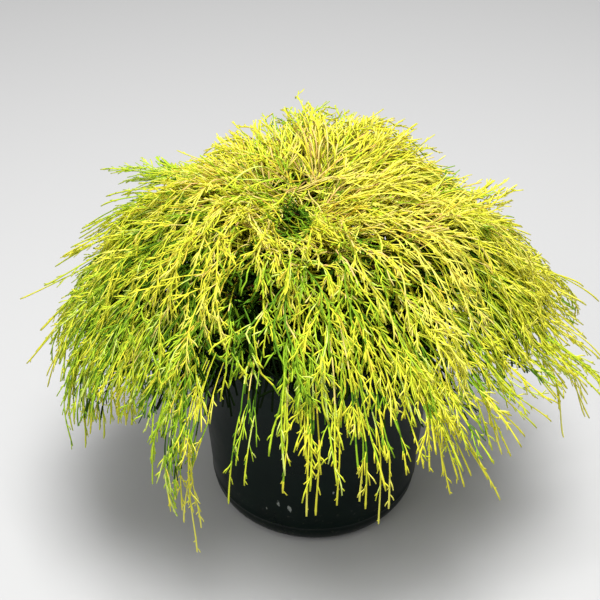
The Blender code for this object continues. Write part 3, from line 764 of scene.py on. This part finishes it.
def grow_fillers():
    """More loose shoots where the outline is thin: the right sprig and the lower left."""
    for az, tip in ((21, (164, 78, 294)), (19, (176, 75, 297)), (17, (184, 72, 289)), (16, (181, 72, 278)),
                    (22, (159, 78, 283))):
        whip(az, S_R(152), tip, out=0.9, level=5.6, scale=0.4, bare=10, bare_end=3, mates=0, up=1.2, spacing=5.5,
             start=0.6, end=0.6, thick=1.15, foot=PALE)
    for az, tip, lv in ((211, (-181, -100, 166), 4.8), (213, (-175, -106, 152), 4.6), (216, (-167, -110, 172), 4.4),
                        (218, (-159, -116, 178), 4.6), (220, (-152, -120, 180), 4.8), (222, (-146, -124, 184), 4.6),
                        (202, (-213, -76, 150), 5.0)):
        whip(az, S_H(238), tip, out=0.4, level=lv, scale=0.45, bare_end=16, mates=1)


golden = math.pi * (3 - math.sqrt(5))


def grow_centre():
    """Short shoots that close the middle of the crown round the growing point."""
    count = 120
    for i in range(count):
        a = golden * i
        q = math.sqrt((i + 0.5) / count)
        az, s = settle(np.array([a % (2 * math.pi)]), np.array([2.0 + 52.0 * q]))
        foot_p = mound(az, s, np.array([-30.0 - 10 * U()]))[0]
        out = np.array([math.cos(a), math.sin(a), 0.0])
        lean = 0.25 + 0.75 * q + 0.2 * G()
        rise = 20 + 10 * U() if i > 26 else 15 + 6 * U()
        goal = foot_p + out * (rise * lean * 1.5) + np.array([G(0, 3.5), G(0, 3.5), rise])
        hollow = float((np.linalg.norm(GAP_P - goal, axis=1) / GAP_R).min()) < 1.25
        if hollow:
            goal[2] -= 13.0
        span = np.linalg.norm(goal - foot_p)
        pts = hermite(foot_p, np.array([0, 0, 1.0]) * span, goal,
                      norm3(out * (0.8 + lean) + np.array([0, 0, 0.25])) * span, max(5, int(span / 5.0)))
        # shoots that end in a hollow get dark tones as painted shade
        level = 1.8 + 0.7 * G() if hollow else 3.6 + 0.9 * G() if i < 30 or U() < 0.2 else 5.5 + 0.6 * G()
        nrm = norm3(np.array([0, 0, 1.0]) - out * 0.4)
        N = np.repeat(nrm[None], len(pts), axis=0)
        dress(pts, N, 20.0, level, foot_tone(20.0, level), sector_of(a % (2 * math.pi)), scale=0.5, spacing=5.0,
              bare=6.0, bare_end=3.0, angle=36.0, fork_rate=0.8, droop=0.0, rad=(0.6, 0.72, 0.9))


def grow_crest():
    """Short arching shoots that feather the skyline of the crown."""
    for i in range(64):
        az0 = (30 + 128 * ((i * 0.618) % 1.0)) * DEG
        s0 = 58 + 58 * U()
        ln = 38 + 30 * U()
        pts, N = mound_path(az0, s0, math.radians(G(0, 30)), ln, 4 + 5 * U(), 4 + 4 * U(), 0.0, w0=-16.0, wave=1.4)
        l = np.linspace(0, 1, len(pts))
        pts = pts + N * (12 + 11 * U()) * (l ** 1.4)[:, None]
        pts[:, 2] = np.where(pts[:, 2] > 346.0, 346.0 + 0.3 * (pts[:, 2] - 346.0), pts[:, 2])
        level = level_at(az0, s0, 0.0) + 0.5 * G()
        dress(pts, N, s0, level, foot_tone(s0, level), sector_of(az0), scale=0.5, spacing=6.5, bare=6.0,
              bare_end=3.0 + 4 * U(), angle=30.0, fork_rate=0.9, droop=0.0)
    # and loose ones that fluff up the flanks
    for i in range(130):
        left = i % 4 != 0
        az0 = ((126 + 92 * ((i * 0.618) % 1.0)) if left else 318 + 44 * U()) * DEG
        s0 = 84 + 132 * U()
        ln = 32 + 34 * U()
        pts, N = mound_path(az0, s0, math.radians(G(0, 34)), ln, 3 + 6 * U(), 3 + 4 * U(), 0.0, w0=-18.0, wave=1.8)
        l = np.linspace(0, 1, len(pts))
        pts = pts + N * (3 + 8 * U() ** 1.5) * (l ** 1.4)[:, None]
        level = level_at(az0, s0, 0.0) + 0.6 * G() - (0.3 if left else 0.0)
        dress(pts, N, s0, level, foot_tone(s0, level), sector_of(az0), scale=0.55, spacing=6.5, bare=6.0,
              bare_end=3.0 + 4 * U(), angle=28.0, fork_rate=0.8, droop=0.02, thick=0.9)


def inner_strand(az0, s0, ln, depth, level, crown=False, dark=False):
    """A nearly bare thread under the coat, with plain side shoots."""
    pts, N = mound_path(az0, s0, math.radians(G(0, 28)), ln, depth, 0.0, 0.0, w0=-depth - 8, step=10.0)
    # olive on the crown and twig_dark where dark is asked are painted shade
    t = OLIVE if crown else DARK if dark else tone(level)
    n = len(pts)
    leaders.add(pts, np.linspace(1.2, 0.75, n), N[n // 2], np.full(n, t), sector_of(az0))
    T = unit(np.gradient(pts, axis=0))
    B = unit(np.cross(N, T))
    for k in range(1, n - 1):
        for sgn in (-1.0, 1.0):
            phi = math.radians(25 + 30 * U())
            d = norm3(T[k] * math.cos(phi) + B[k] * sgn * math.sin(phi) + N[k] * min(0.15, G(0, 0.3)))
            lp = stepped(pts[k], d, 22 + 18 * U(), 16.0, T[k], 0.05, 0.05, 0.08)
            ts = (OLIVE if U() < 0.75 else FRESH) if crown else tone(level + 0.2)
            laterals.add(lp, np.linspace(0.8, 1.1, len(lp)), N[k], np.full(len(lp), ts), sector_of(az0))


def grow_inside():
    """Nearly bare threads and twigs that close the mound under its green coat; their dark tones, darkest where shaded,
    are partly the old wood's own colour and partly painted shade.
    """
    for i in range(520):
        az0 = (golden * i) % (2 * math.pi)
        s0 = 1 + 90 * U() if i % 3 == 0 else 2 + 235 * U()
        over_pot = 222 * DEG < az0 < 312 * DEG
        left = 122 * DEG < az0 < 212 * DEG
        shaded = over_pot or (s0 < 130 and not left)
        ln = min(55 + 70 * U(), float(s_at_height(252.0 if shaded else edge_of(az0) + 40.0)) - s0)
        if ln < 25:
            continue
        inner_strand(az0, s0, ln, 22 + (26 if i % 3 == 0 else 16) * U(),
                     0.7 * U() if shaded else 1.0 + 1.9 * U() if left else 1.9 * U(),
                     crown=U() < (0.9 if s0 < 90 else 0.7 if left and s0 < 190 else 0.0), dark=shaded and U() < 0.4)
    # the flanks, which nothing stands behind, are filled with green
    for i in range(190):
        az0 = ((122 + 104 * U()) if i % 3 else (312 + 100 * U()) % 360) * DEG
        s0 = 92 + 125 * U()
        ln = min(50 + 55 * U(), float(s_at_height(edge_of(az0) + 26.0)) - s0)
        if ln > 25:
            inner_strand(az0, s0, ln, 15 + 20 * U(), 1.0 + 1.6 * U())


# the tone each tone turns to inside a hollow: painted shade
HOLLOW_SHADE_TONE = np.array([SHADE, SHADE, DEEP, DEEP, GREEN, GREEN, FRESH, FRESH, OLIVE, OLIVE, OLIVE, BROWN, DARK,
                   DARK, GREEN, DEEP])


def open_hollows():
    """Over a hollow the sunlit side shoots are missing, and the threads left in it are given darker tones as painted
    shade.
    """
    top = mound(GAP_AZ, GAP_S, np.full(len(GAPS), 8.0))
    axis = mound(GAP_AZ, GAP_S, np.full(len(GAPS), -40.0)) - top
    top[:3] -= POCKET * 0.2
    axis[:3] = POCKET * 1.3
    size2 = (axis ** 2).sum(axis=1)

    def nearness(p):
        """Distance from the nearest hollow's axis over its radius, and the share of the way down it."""
        near, down = [], []
        for chunk in np.array_split(p, max(1, len(p) // 20000)):
            rel = chunk[:, None, :] - top[None]
            u = np.clip((rel * axis[None]).sum(axis=2) / size2[None], 0, 1)
            d = np.linalg.norm(rel - u[..., None] * axis[None], axis=2) / GAP_R[None]
            k = d.argmin(axis=1)
            near.append(d[np.arange(len(chunk)), k])
            down.append(u[np.arange(len(chunk)), k])
        return np.concatenate(near), np.concatenate(down)

    gone = np.zeros(len(laterals.points), dtype=bool)
    for strands in (laterals, forks):
        near, down = nearness(np.array([p[len(p) // 2] for p in strands.points]))
        drop = (near < 0.85) & (down < 0.55) & (U(len(near)) < 0.85)
        if strands is laterals:
            gone = drop
        else:
            parent = np.array(strands.parent)
            drop |= (parent >= 0) & gone[np.maximum(parent, 0)]
        for k in np.flatnonzero((near < 1.15) & ~drop):
            strands.tones[k] = HOLLOW_SHADE_TONE[strands.tones[k]]
        strands.keep(~drop)
    counts = np.array([len(p) for p in leaders.points])
    near, _ = nearness(np.concatenate(leaders.points))
    tones = np.concatenate(leaders.tones)
    tones = np.where(near < 1.0, HOLLOW_SHADE_TONE[tones], tones)
    leaders.tones = np.split(tones, np.cumsum(counts)[:-1])


def grow_needles():
    """Short shoots on the floor of the hollow in the crown and of the larger ones below it, in dark green, olive and
    brown tones that are partly their own colour and partly painted shade.
    """
    for g in range(6):
        face = mound(GAP_AZ[g:g + 1], GAP_S[g:g + 1], np.array([2.0]))[0]
        inward = POCKET if g < 3 else mound(GAP_AZ[g:g + 1], GAP_S[g:g + 1], np.array([-34.0]))[0] - face
        N = -norm3(inward)
        X = norm3(np.cross(N, np.array([0.3, 0.2, 0.9])))
        Y = np.cross(N, X)
        sector = sector_of(float(GAP_AZ[g]) % (2 * math.pi))
        for i in range(int(GAP_R[g] ** 2 * 0.34)):
            a, q = 6.283 * U(), math.sqrt(U())
            foot_p = face + inward * (0.85 + 0.25 * U()) + (X * math.cos(a) + Y * math.sin(a)) * (1.15 * GAP_R[g] * q)
            side = norm3(np.array([G(), G(), 0.3 * G()]))
            length = 9 + 10 * U()
            goal = foot_p + N * length + side * (3 + 6 * U())
            mid_p = foot_p + N * (length * 0.55) + side * 1.5
            t = SHADE if U() < 0.5 else DEEP if U() < 0.5 else OLIVE if U() < 0.5 else BROWN
            leaders.add(np.array([foot_p, mid_p, goal]), np.array([0.6, 0.75, 0.6]), norm3(np.cross(N, side) + 0.01),
                        np.full(3, t), sector)
            T = norm3(goal - foot_p)
            B = norm3(np.cross(T, side) + 1e-3)
            for k in range(4):
                base = foot_p + (goal - foot_p) * (0.35 + 0.16 * k)
                tooth(base, T, B, side, 1.0 if k % 2 else -1.0, 4 + 4 * U(), t if U() < 0.75 else DEEP, sector, 1.0, 0.0)


def node_points(name):
    """Corner points of a node's mesh in millimetres."""
    obj = frame["nodes"][name]
    co = np.empty(len(obj.data.vertices) * 3)
    obj.data.vertices.foreach_get("co", co)
    return co.reshape(-1, 3) / MM


def grow_twigs():
    """Brown twigs carry every fan from the nearest bough."""
    ends = []
    for name in frame["nodes"]:
        if not name.startswith("bough_"):
            continue
        p = node_points(name)
        rad = np.hypot(p[:, 0], p[:, 1])
        far = p[rad > rad.max() - 6].mean(axis=0)
        mid = p[np.abs(rad - (rad.max() * 0.62)) < 9]
        ends.append(far)
        if len(mid):
            ends.append(mid.mean(axis=0))
    top = node_points("stem")
    ends.append(top[top[:, 2] > top[:, 2].max() - 1].mean(axis=0) - np.array([0, 0, 2.0]))
    ends = np.array(ends)
    for p, az in TWIG_FEET:
        cost = np.linalg.norm(ends - p, axis=1) + 60.0 * (np.hypot(ends[:, 0], ends[:, 1]) > np.hypot(p[0], p[1]))
        a = ends[int(np.argmin(cost))]
        span = np.linalg.norm(p - a)
        if span < 4:
            continue
        n = max(5, int(span / 9.0) + 1)
        out = norm3(np.array([p[0] - a[0], p[1] - a[1], 0.0]) + 1e-6)
        pts = hermite(a, (out * 0.7 + np.array([0, 0, 0.25])) * span, p, (out * 0.6 + np.array([0, 0, 0.7])) * span, n)
        pts[1:-1] += G(0, 1.1, (n - 2, 3))
        r = np.linspace(1.7, 0.95, n)
        tones = np.full(n, BROWN if U() < 0.6 else DARK)
        tones[int(0.7 * n):] = TAN if U() < 0.5 else BROWN
        twigs.add(pts, r, np.array([out[1], -out[0], 0.3]), tones, sector_of(az))


grow_mound()
grow_fingers()
grow_whips()
grow_centre()
grow_crest()
grow_inside()
open_hollows()
grow_needles()
grow_twigs()
grow_fillers()

# nodes that each sector's foliage stands for


def azimuth_of(node):
    lo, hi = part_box(node)
    return math.atan2((lo[1] + hi[1]) / 2, (lo[0] + hi[0]) / 2) % (2 * math.pi)


mass_nodes = [n for n in frame["nodes"] if n.startswith(("crown_", "shoulder_", "skirt_", "sprig_"))]
by_sector = {}
for n in mass_nodes:
    by_sector.setdefault(sector_of(azimuth_of(n)), []).append(n)

tris = {}
for sec in range(SECTORS):
    for kind, strands, sides in (("stems", leaders, 3), ("side_shoots", laterals, 3), ("tips", forks, 3),
                                 ("twigs", twigs, 4)):
        pick = [k for k in range(len(strands.points)) if strands.sector[k] == sec]
        obj = mesh_strands("%s_%d" % (kind, sec + 1), strands, pick, sides, LEAF_MATS)
        if obj is None:
            continue
        obj.data.calc_loop_triangles()
        tris[obj.name] = len(obj.data.loop_triangles)
        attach(obj, "root")
        if kind == "side_shoots":
            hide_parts(*by_sector.get(sec, []))
print("triangles", sum(tris.values()), "largest", max(tris.values()), "leaders", len(leaders.points),
      "laterals", len(laterals.points), "forks", len(forks.points), "twigs", len(twigs.points))

# ------------------------------------------------------------------ pot, mix, bark


def add_node(nt, kind, **inputs):
    node = nt.nodes.new(kind)
    for k, v in inputs.items():
        node.inputs[k.replace("_", " ")].default_value = v
    return node


def ramp_node(nt, fac, stops):
    ramp = nt.nodes.new("ShaderNodeValToRGB")
    el = ramp.color_ramp.elements
    while len(el) < len(stops):
        el.new(0.5)
    for e, (pos, col) in zip(el, stops):
        e.position = pos
        e.color = (*col, 1.0)
    nt.links.new(fac, ramp.inputs["Fac"])
    return ramp.outputs["Color"]


# pale rubbed marks, taller than wide: place and size in metres
SCUFFS = [(-0.034, -0.0965, 0.050, 0.0034), (-0.0235, -0.0995, 0.046, 0.0042), (-0.045, -0.0915, 0.038, 0.0022),
          (0.062, -0.083, 0.060, 0.003), (-0.090, 0.050, 0.070, 0.004), (0.052, 0.087, 0.034, 0.004),
          (0.100, 0.022, 0.050, 0.003), (0.016, -0.1015, 0.070, 0.0022)]


def pot_plastic():
    mat = principled("nursery_plastic_look", (0.0022, 0.003, 0.003), 0.34, 0.11)
    nt = mat.node_tree
    b = nt.nodes["Principled BSDF"]
    tex = nt.nodes.new("ShaderNodeTexCoord")
    obj = tex.outputs["Object"]
    # cool black with faint cloudy dust
    cloud = add_node(nt, "ShaderNodeTexNoise", Scale=22.0, Detail=8.0, Roughness=0.62)
    nt.links.new(obj, cloud.inputs["Vector"])
    b.inputs["Specular Tint"].default_value = (0.72, 1.0, 0.88, 1.0)
    base = ramp_node(nt, cloud.outputs["Fac"], [(0.35, (0.0006, 0.0026, 0.0018)), (0.62, (0.0016, 0.0058, 0.0044)),
                                                (0.88, (0.0075, 0.0145, 0.0115))])
    # dried splashes of dust low on the wall
    sep = nt.nodes.new("ShaderNodeSeparateXYZ")
    nt.links.new(obj, sep.inputs["Vector"])
    low = add_node(nt, "ShaderNodeMapRange", From_Min=0.055, From_Max=0.004, To_Min=0.0, To_Max=1.0)
    nt.links.new(sep.outputs["Z"], low.inputs["Value"])
    speck = add_node(nt, "ShaderNodeTexNoise", Scale=260.0, Detail=4.0, Roughness=0.6)
    nt.links.new(obj, speck.inputs["Vector"])
    speck_r = add_node(nt, "ShaderNodeMapRange", From_Min=0.60, From_Max=0.74, To_Min=0.0, To_Max=0.7)
    nt.links.new(speck.outputs["Fac"], speck_r.inputs["Value"])
    both = nt.nodes.new("ShaderNodeMath")
    both.operation = "MULTIPLY"
    nt.links.new(low.outputs["Result"], both.inputs[0])
    nt.links.new(speck_r.outputs["Result"], both.inputs[1])
    mix = nt.nodes.new("ShaderNodeMix")
    mix.data_type = "RGBA"
    nt.links.new(both.outputs[0], mix.inputs[0])
    nt.links.new(base, mix.inputs[6])
    mix.inputs[7].default_value = (0.10, 0.09, 0.075, 1)
    colour = mix.outputs[2]
    # a few pale scuffs
    squat = add_node(nt, "ShaderNodeMapping", Scale=(1.0, 1.0, 0.42))
    nt.links.new(obj, squat.inputs["Vector"])
    rough_n = add_node(nt, "ShaderNodeTexNoise", Scale=520.0, Detail=3.0, Roughness=0.6)
    nt.links.new(squat.outputs["Vector"], rough_n.inputs["Vector"])
    for x, y, z, r in SCUFFS:
        dist = nt.nodes.new("ShaderNodeVectorMath")
        dist.operation = "DISTANCE"
        nt.links.new(squat.outputs["Vector"], dist.inputs[0])
        dist.inputs[1].default_value = (x, y, z * 0.42)
        near = add_node(nt, "ShaderNodeMapRange", From_Min=r, From_Max=r * 0.25, To_Min=0.0, To_Max=0.62)
        nt.links.new(dist.outputs["Value"], near.inputs["Value"])
        add = nt.nodes.new("ShaderNodeMath")
        add.operation = "ADD"
        nt.links.new(near.outputs["Result"], add.inputs[0])
        nt.links.new(rough_n.outputs["Fac"], add.inputs[1])
        cut = add_node(nt, "ShaderNodeMapRange", From_Min=0.92, From_Max=1.04, To_Min=0.0, To_Max=0.85)
        nt.links.new(add.outputs[0], cut.inputs["Value"])
        m2 = nt.nodes.new("ShaderNodeMix")
        m2.data_type = "RGBA"
        nt.links.new(cut.outputs["Result"], m2.inputs[0])
        nt.links.new(colour, m2.inputs[6])
        m2.inputs[7].default_value = (0.26, 0.28, 0.26, 1)
        colour = m2.outputs[2]
    nt.links.new(colour, b.inputs["Base Color"])
    mr = add_node(nt, "ShaderNodeMapRange", From_Min=0.3, From_Max=0.8, To_Min=0.24, To_Max=0.46)
    nt.links.new(cloud.outputs["Fac"], mr.inputs["Value"])
    nt.links.new(mr.outputs["Result"], b.inputs["Roughness"])
    fine = add_node(nt, "ShaderNodeTexNoise", Scale=900.0, Detail=2.0)
    nt.links.new(obj, fine.inputs["Vector"])
    bm = add_node(nt, "ShaderNodeBump", Strength=0.10, Distance=0.0004)
    nt.links.new(fine.outputs["Fac"], bm.inputs["Height"])
    nt.links.new(bm.outputs["Normal"], b.inputs["Normal"])
    return mat


def mottled(name, stops, rough, scale, bump, stretch=(1.0, 1.0, 1.0)):
    mat = principled(name, stops[0][1], rough, 0.3)
    nt = mat.node_tree
    b = nt.nodes["Principled BSDF"]
    tex = nt.nodes.new("ShaderNodeTexCoord")
    mp = add_node(nt, "ShaderNodeMapping", Scale=stretch)
    nt.links.new(tex.outputs["Object"], mp.inputs["Vector"])
    n1 = add_node(nt, "ShaderNodeTexNoise", Scale=scale, Detail=10.0, Roughness=0.6)
    nt.links.new(mp.outputs["Vector"], n1.inputs["Vector"])
    nt.links.new(ramp_node(nt, n1.outputs["Fac"], stops), b.inputs["Base Color"])
    bm = add_node(nt, "ShaderNodeBump", Strength=bump, Distance=0.002)
    nt.links.new(n1.outputs["Fac"], bm.inputs["Height"])
    nt.links.new(bm.outputs["Normal"], b.inputs["Normal"])
    return mat


PLASTIC = pot_plastic()
SOIL = mottled("growing_mix_look", [(0.30, (0.010, 0.007, 0.005)), (0.55, (0.035, 0.022, 0.014)),
                                    (0.75, (0.085, 0.055, 0.034))], 0.95, 170.0, 0.9)
CHIP = mottled("bark_chip_look", [(0.3, (0.028, 0.014, 0.008)), (0.6, (0.11, 0.055, 0.03)),
                                  (0.8, (0.20, 0.12, 0.07))], 0.88, 120.0, 0.7, (1, 1, 3))
BARK = mottled("bark_look", [(0.30, (0.035, 0.017, 0.010)), (0.52, (0.13, 0.062, 0.034)),
                             (0.74, (0.27, 0.155, 0.095))], 0.85, 190.0, 0.8, (1, 1, 0.25))


def link_mesh(name, verts, faces, mats, index=None, smooth=True):
    mesh = bpy.data.meshes.new(name)
    mesh.from_pydata([tuple(v) for v in verts], [], [tuple(f) for f in faces])
    for m in mats:
        mesh.materials.append(m)
    if index is not None:
        mesh.polygons.foreach_set("material_index", np.array(index, dtype=np.int32))
    mesh.update()
    bm = bmesh.new()
    bm.from_mesh(mesh)
    bmesh.ops.recalc_face_normals(bm, faces=bm.faces)
    bm.to_mesh(mesh)
    bm.free()
    if smooth:
        mesh.shade_smooth()
        mesh.set_sharp_from_angle(angle=math.radians(40))
    obj = bpy.data.objects.new(name, mesh)
    bpy.context.scene.collection.objects.link(obj)
    return obj


def turned(name, profile, sides, mat, wave=None):
    verts, rows = [], []
    for r, z in profile:
        if r < 1e-9:
            rows.append([len(verts)])
            verts.append((0.0, 0.0, z))
            continue
        row = []
        for i in range(sides):
            a = 2 * math.pi * i / sides
            dr = wave(a, r, z) if wave else 0.0
            row.append(len(verts))
            verts.append(((r + dr) * math.cos(a), (r + dr) * math.sin(a), z))
        rows.append(row)
    faces = []
    for lo, hi in zip(rows, rows[1:]):
        for i in range(sides):
            j = (i + 1) % sides
            if len(lo) == 1:
                faces.append((lo[0], hi[j], hi[i]))
            elif len(hi) == 1:
                faces.append((lo[i], lo[j], hi[0]))
            else:
                faces.append((lo[i], lo[j], hi[j], hi[i]))
    return link_mesh(name, verts, faces, [mat])


def make_pot():
    """Blow-moulded nursery pot: foot ring, round heel, drafted wall, rim band with a rolled lip."""
    base_r, heel_r, heel_h, neck_r, rim_r, height, wall = 88.0, 100.0, 20.0, 110.0, 115.5, 215.0, 2.2
    neck_z = height - 23.0
    line = [(0.0, 1.6), (60.0, 1.6), (80.0, 1.4), (82.5, 0.2), (85.0, 0.0), (88.0, 0.25)]
    for k in range(1, 13):
        a = math.pi / 2 * k / 12
        line.append((base_r + (heel_r - base_r) * math.sin(a), heel_h * (1 - math.cos(a)) + 0.25 * (1 - k / 12)))
    line += [(heel_r + 0.55, heel_h + 1.2), (heel_r + 0.75, heel_h + 2.6), (heel_r + 0.45, heel_h + 4.2)]

    def wall_r(z):
        return heel_r + (neck_r - heel_r) * (z - heel_h) / (neck_z - heel_h)

    for z in np.linspace(30, 176, 24):
        line.append((wall_r(z), z))
    line += [(wall_r(180), 180), (wall_r(182) + 0.35, 182.0), (wall_r(184) + 0.35, 184.0), (wall_r(186), 186.0),
             (neck_r - 0.1, neck_z - 1.5), (neck_r + 1.2, neck_z - 0.3), (rim_r - 1.4, neck_z + 0.5),
             (rim_r - 0.4, neck_z + 1.5), (rim_r, neck_z + 3.2), (rim_r - 0.35, neck_z + 8), (rim_r - 0.35, neck_z + 13),
             (rim_r - 0.15, neck_z + 17.5), (rim_r, height - 3.6), (rim_r, height - 2.0), (rim_r - 0.35, height - 0.9),
             (rim_r - 1.1, height - 0.2), (rim_r - 2.1, height), (rim_r - 3.1, height - 0.35),
             (rim_r - 3.8, height - 1.3), (rim_r - 4.2, height - 2.8), (rim_r - 4.6, height - 5),
             (rim_r - 4.8, neck_z + 4), (neck_r - wall, neck_z - 2.0)]
    for z in np.linspace(180, 24, 8):
        line.append((wall_r(z) - wall, z))
    for k in (9, 6, 3):
        a = math.pi / 2 * k / 12
        line.append((base_r - wall + (heel_r - base_r) * math.sin(a), wall + (heel_h - wall) * (1 - math.cos(a))))
    line += [(base_r - wall, 3.8), (60.0, 3.8), (0.0, 3.8)]

    def wave(a, r, z):
        # a thin wall is never perfectly round
        if z < 0.004 or r < 0.07:
            return 0.0
        k = math.sin(min(1.0, z / 0.2) * math.pi * 0.5)
        return MM * k * (0.30 * math.sin(2 * a + 0.7) + 0.18 * math.sin(3 * a + 2.0) + 0.10 * math.sin(7 * a + 9 * z / 0.2))

    pot = turned("nursery_pot_shell", [(r * MM, z * MM) for r, z in line], 160, PLASTIC, wave)
    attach(pot, "root")
    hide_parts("pot")


def make_soil():
    """Bark-based growing mix: a crumbly surface with chips and grit in it."""
    R, top, n_r, n_a = 104.2, 188.0, 46, 132
    verts, faces = [], []
    verts.append((0.0, 0.0, top * MM))
    for i in range(1, n_r + 1):
        r = R * (i / n_r) ** 0.9
        for j in range(n_a):
            a = 2 * math.pi * j / n_a
            x, y = r * math.cos(a), r * math.sin(a)
            edge = max(0.0, (r - 88.0) / 17.0)
            h = top - 1.0 - 3.2 * edge ** 2
            h += 1.9 * noise.noise(Vector((x * 0.06, y * 0.06, 1.7))) + 1.5 * noise.noise(Vector((x * 0.19, y * 0.19, 5.1)))
            h += 0.8 * noise.noise(Vector((x * 0.5, y * 0.5, 8.4)))
            verts.append((x * MM, y * MM, h * MM))
    base = 1 + (n_r - 1) * n_a
    for j in range(n_a):
        faces.append((0, 1 + j, 1 + (j + 1) % n_a))
    for i in range(n_r - 1):
        for j in range(n_a):
            a0, a1 = 1 + i * n_a, 1 + (i + 1) * n_a
            faces.append((a0 + j, a1 + j, a1 + (j + 1) % n_a, a0 + (j + 1) % n_a))
    under = len(verts)
    for j in range(n_a):
        x, y, z = verts[base + j]
        verts.append((x * 0.985, y * 0.985, 0.150))
    for j in range(n_a):
        faces.append((base + j, under + j, under + (j + 1) % n_a, base + (j + 1) % n_a))
    verts.append((0.0, 0.0, 0.150))
    for j in range(n_a):
        faces.append((under + (j + 1) % n_a, under + j, len(verts) - 1))
    index = [0] * len(faces)
    shape = np.array([[-1, -1, -0.6], [1, -1, -0.6], [1, 1, -0.6], [-1, 1, -0.6],
                      [-0.8, -0.85, 0.6], [0.8, -0.8, 0.6], [0.85, 0.8, 0.6], [-0.8, 0.85, 0.6]])
    box = [(0, 3, 2, 1), (4, 5, 6, 7), (0, 1, 5, 4), (1, 2, 6, 5), (2, 3, 7, 6), (3, 0, 4, 7)]
    for k in range(620):
        r = 101.0 * math.sqrt(U())
        a = 2 * math.pi * U()
        x, y = r * math.cos(a), r * math.sin(a)
        if math.hypot(x, y) < 13:
            continue
        big = U() < 0.35
        dims = np.array([3.2 + 5.5 * U(), 1.6 + 2.2 * U(), 0.8 + 0.8 * U()]) if big else np.array([1.2 + 1.6 * U()] * 3) * (0.7 + 0.5 * U(3))
        q = Vector((G(), G(), G())).normalized()
        rot = np.array(Vector((0, 0, 1)).rotation_difference((Vector((0, 0, 1)) * (3.0 if big else 0.6) + q).normalized()).to_matrix())
        ca, sa = math.cos(6.28 * (spin := U())), math.sin(6.28 * spin)
        zr = np.array([[ca, -sa, 0], [sa, ca, 0], [0, 0, 1.0]])
        pts = (shape * dims * (1 + 0.22 * G(0, 1, (8, 3)))) @ zr.T @ rot.T
        z = top - 0.6 - 3.2 * max(0.0, (r - 88.0) / 17.0) ** 2 + 0.9 * U()
        v0 = len(verts)
        pts = pts + np.array([x, y, z])
        rr = np.hypot(pts[:, 0], pts[:, 1])
        pts[:, :2] *= np.minimum(1.0, 105.5 / rr)[:, None]
        for p in pts:
            verts.append(tuple(p * MM))
        for f in box:
            faces.append(tuple(v0 + i for i in f))
            index.append(1)
    soil = link_mesh("growing_mix_surface", verts, faces, [SOIL, CHIP], index)
    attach(soil, "root")
    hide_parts("growing_mix")


def relief(node, new_name, cuts, depth, grain):
    """Stringy bark: the node's own limb, divided finely and furrowed along its length."""
    src = frame["nodes"][node]
    bm = bmesh.new()
    bm.from_mesh(src.data)
    bmesh.ops.triangulate(bm, faces=[f for f in bm.faces if len(f.verts) > 4])
    bmesh.ops.subdivide_edges(bm, edges=bm.edges[:], cuts=cuts, use_grid_fill=True, smooth=0.0)
    bm.normal_update()
    for v in bm.verts:
        p = v.co / MM
        a = math.atan2(p.y, p.x)
        f = noise.noise(Vector((p.x * grain, p.y * grain, p.z * grain * 0.16)))
        g = noise.noise(Vector((p.x * grain * 2.7 + 9, p.y * grain * 2.7, p.z * grain * 0.5)))
        v.co += v.normal * MM * depth * (abs(f) * 1.6 - 0.45 + 0.35 * g)
    mesh = bpy.data.meshes.new(new_name)
    bm.to_mesh(mesh)
    bm.free()
    mesh.materials.append(BARK)
    mesh.shade_smooth()
    obj = bpy.data.objects.new(new_name, mesh)
    bpy.context.scene.collection.objects.link(obj)
    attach(obj, "root")
    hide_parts(node)


make_pot()
make_soil()
relief("stem", "stem_bark", 5, 1.1, 0.55)
for n in list(frame["nodes"]):
    if n.startswith("bough_"):
        relief(n, n + "_bark", 3, 0.45, 0.9)

# ------------------------------------------------------------------ stage
bpy.ops.mesh.primitive_plane_add(size=12.0, location=(0, 0, -0.0004))
floor = bpy.context.object
floor.name = "floor"
floor.data.materials.append(principled("floor_look", (0.52, 0.52, 0.52), 0.8, 0.1))

scene = bpy.context.scene
scene.view_settings.view_transform = "Standard"
world = bpy.data.worlds.new("studio")
world.use_nodes = True
world.node_tree.nodes["Background"].inputs["Color"].default_value = (1, 1, 1, 1)
world.node_tree.nodes["Background"].inputs["Strength"].default_value = 0.42
scene.world = world


def area(name, loc, size, power):
    lamp = bpy.data.lights.new(name, "AREA")
    lamp.size = size
    lamp.energy = power
    obj = bpy.data.objects.new(name, lamp)
    obj.location = loc
    obj.rotation_euler = (Vector((0, 0, 0.2)) - Vector(loc)).to_track_quat("-Z", "Y").to_euler()
    scene.collection.objects.link(obj)


area("key", (0.1, -0.25, 2.4), 1.1, 76.0)
area("fill", (-1.6, -1.0, 1.4), 1.5, 10.0)

cam = bpy.data.cameras.new("camera")
cam.sensor_width = 36.0
cam.lens = 1100.0 / 600.0 * 36.0
cam_obj = bpy.data.objects.new("camera", cam)
cam_obj.location = (-0.014, -0.798, 0.790)
cam_obj.rotation_euler = (math.radians(54.0), 0, 0)
scene.collection.objects.link(cam_obj)
scene.camera = cam_obj
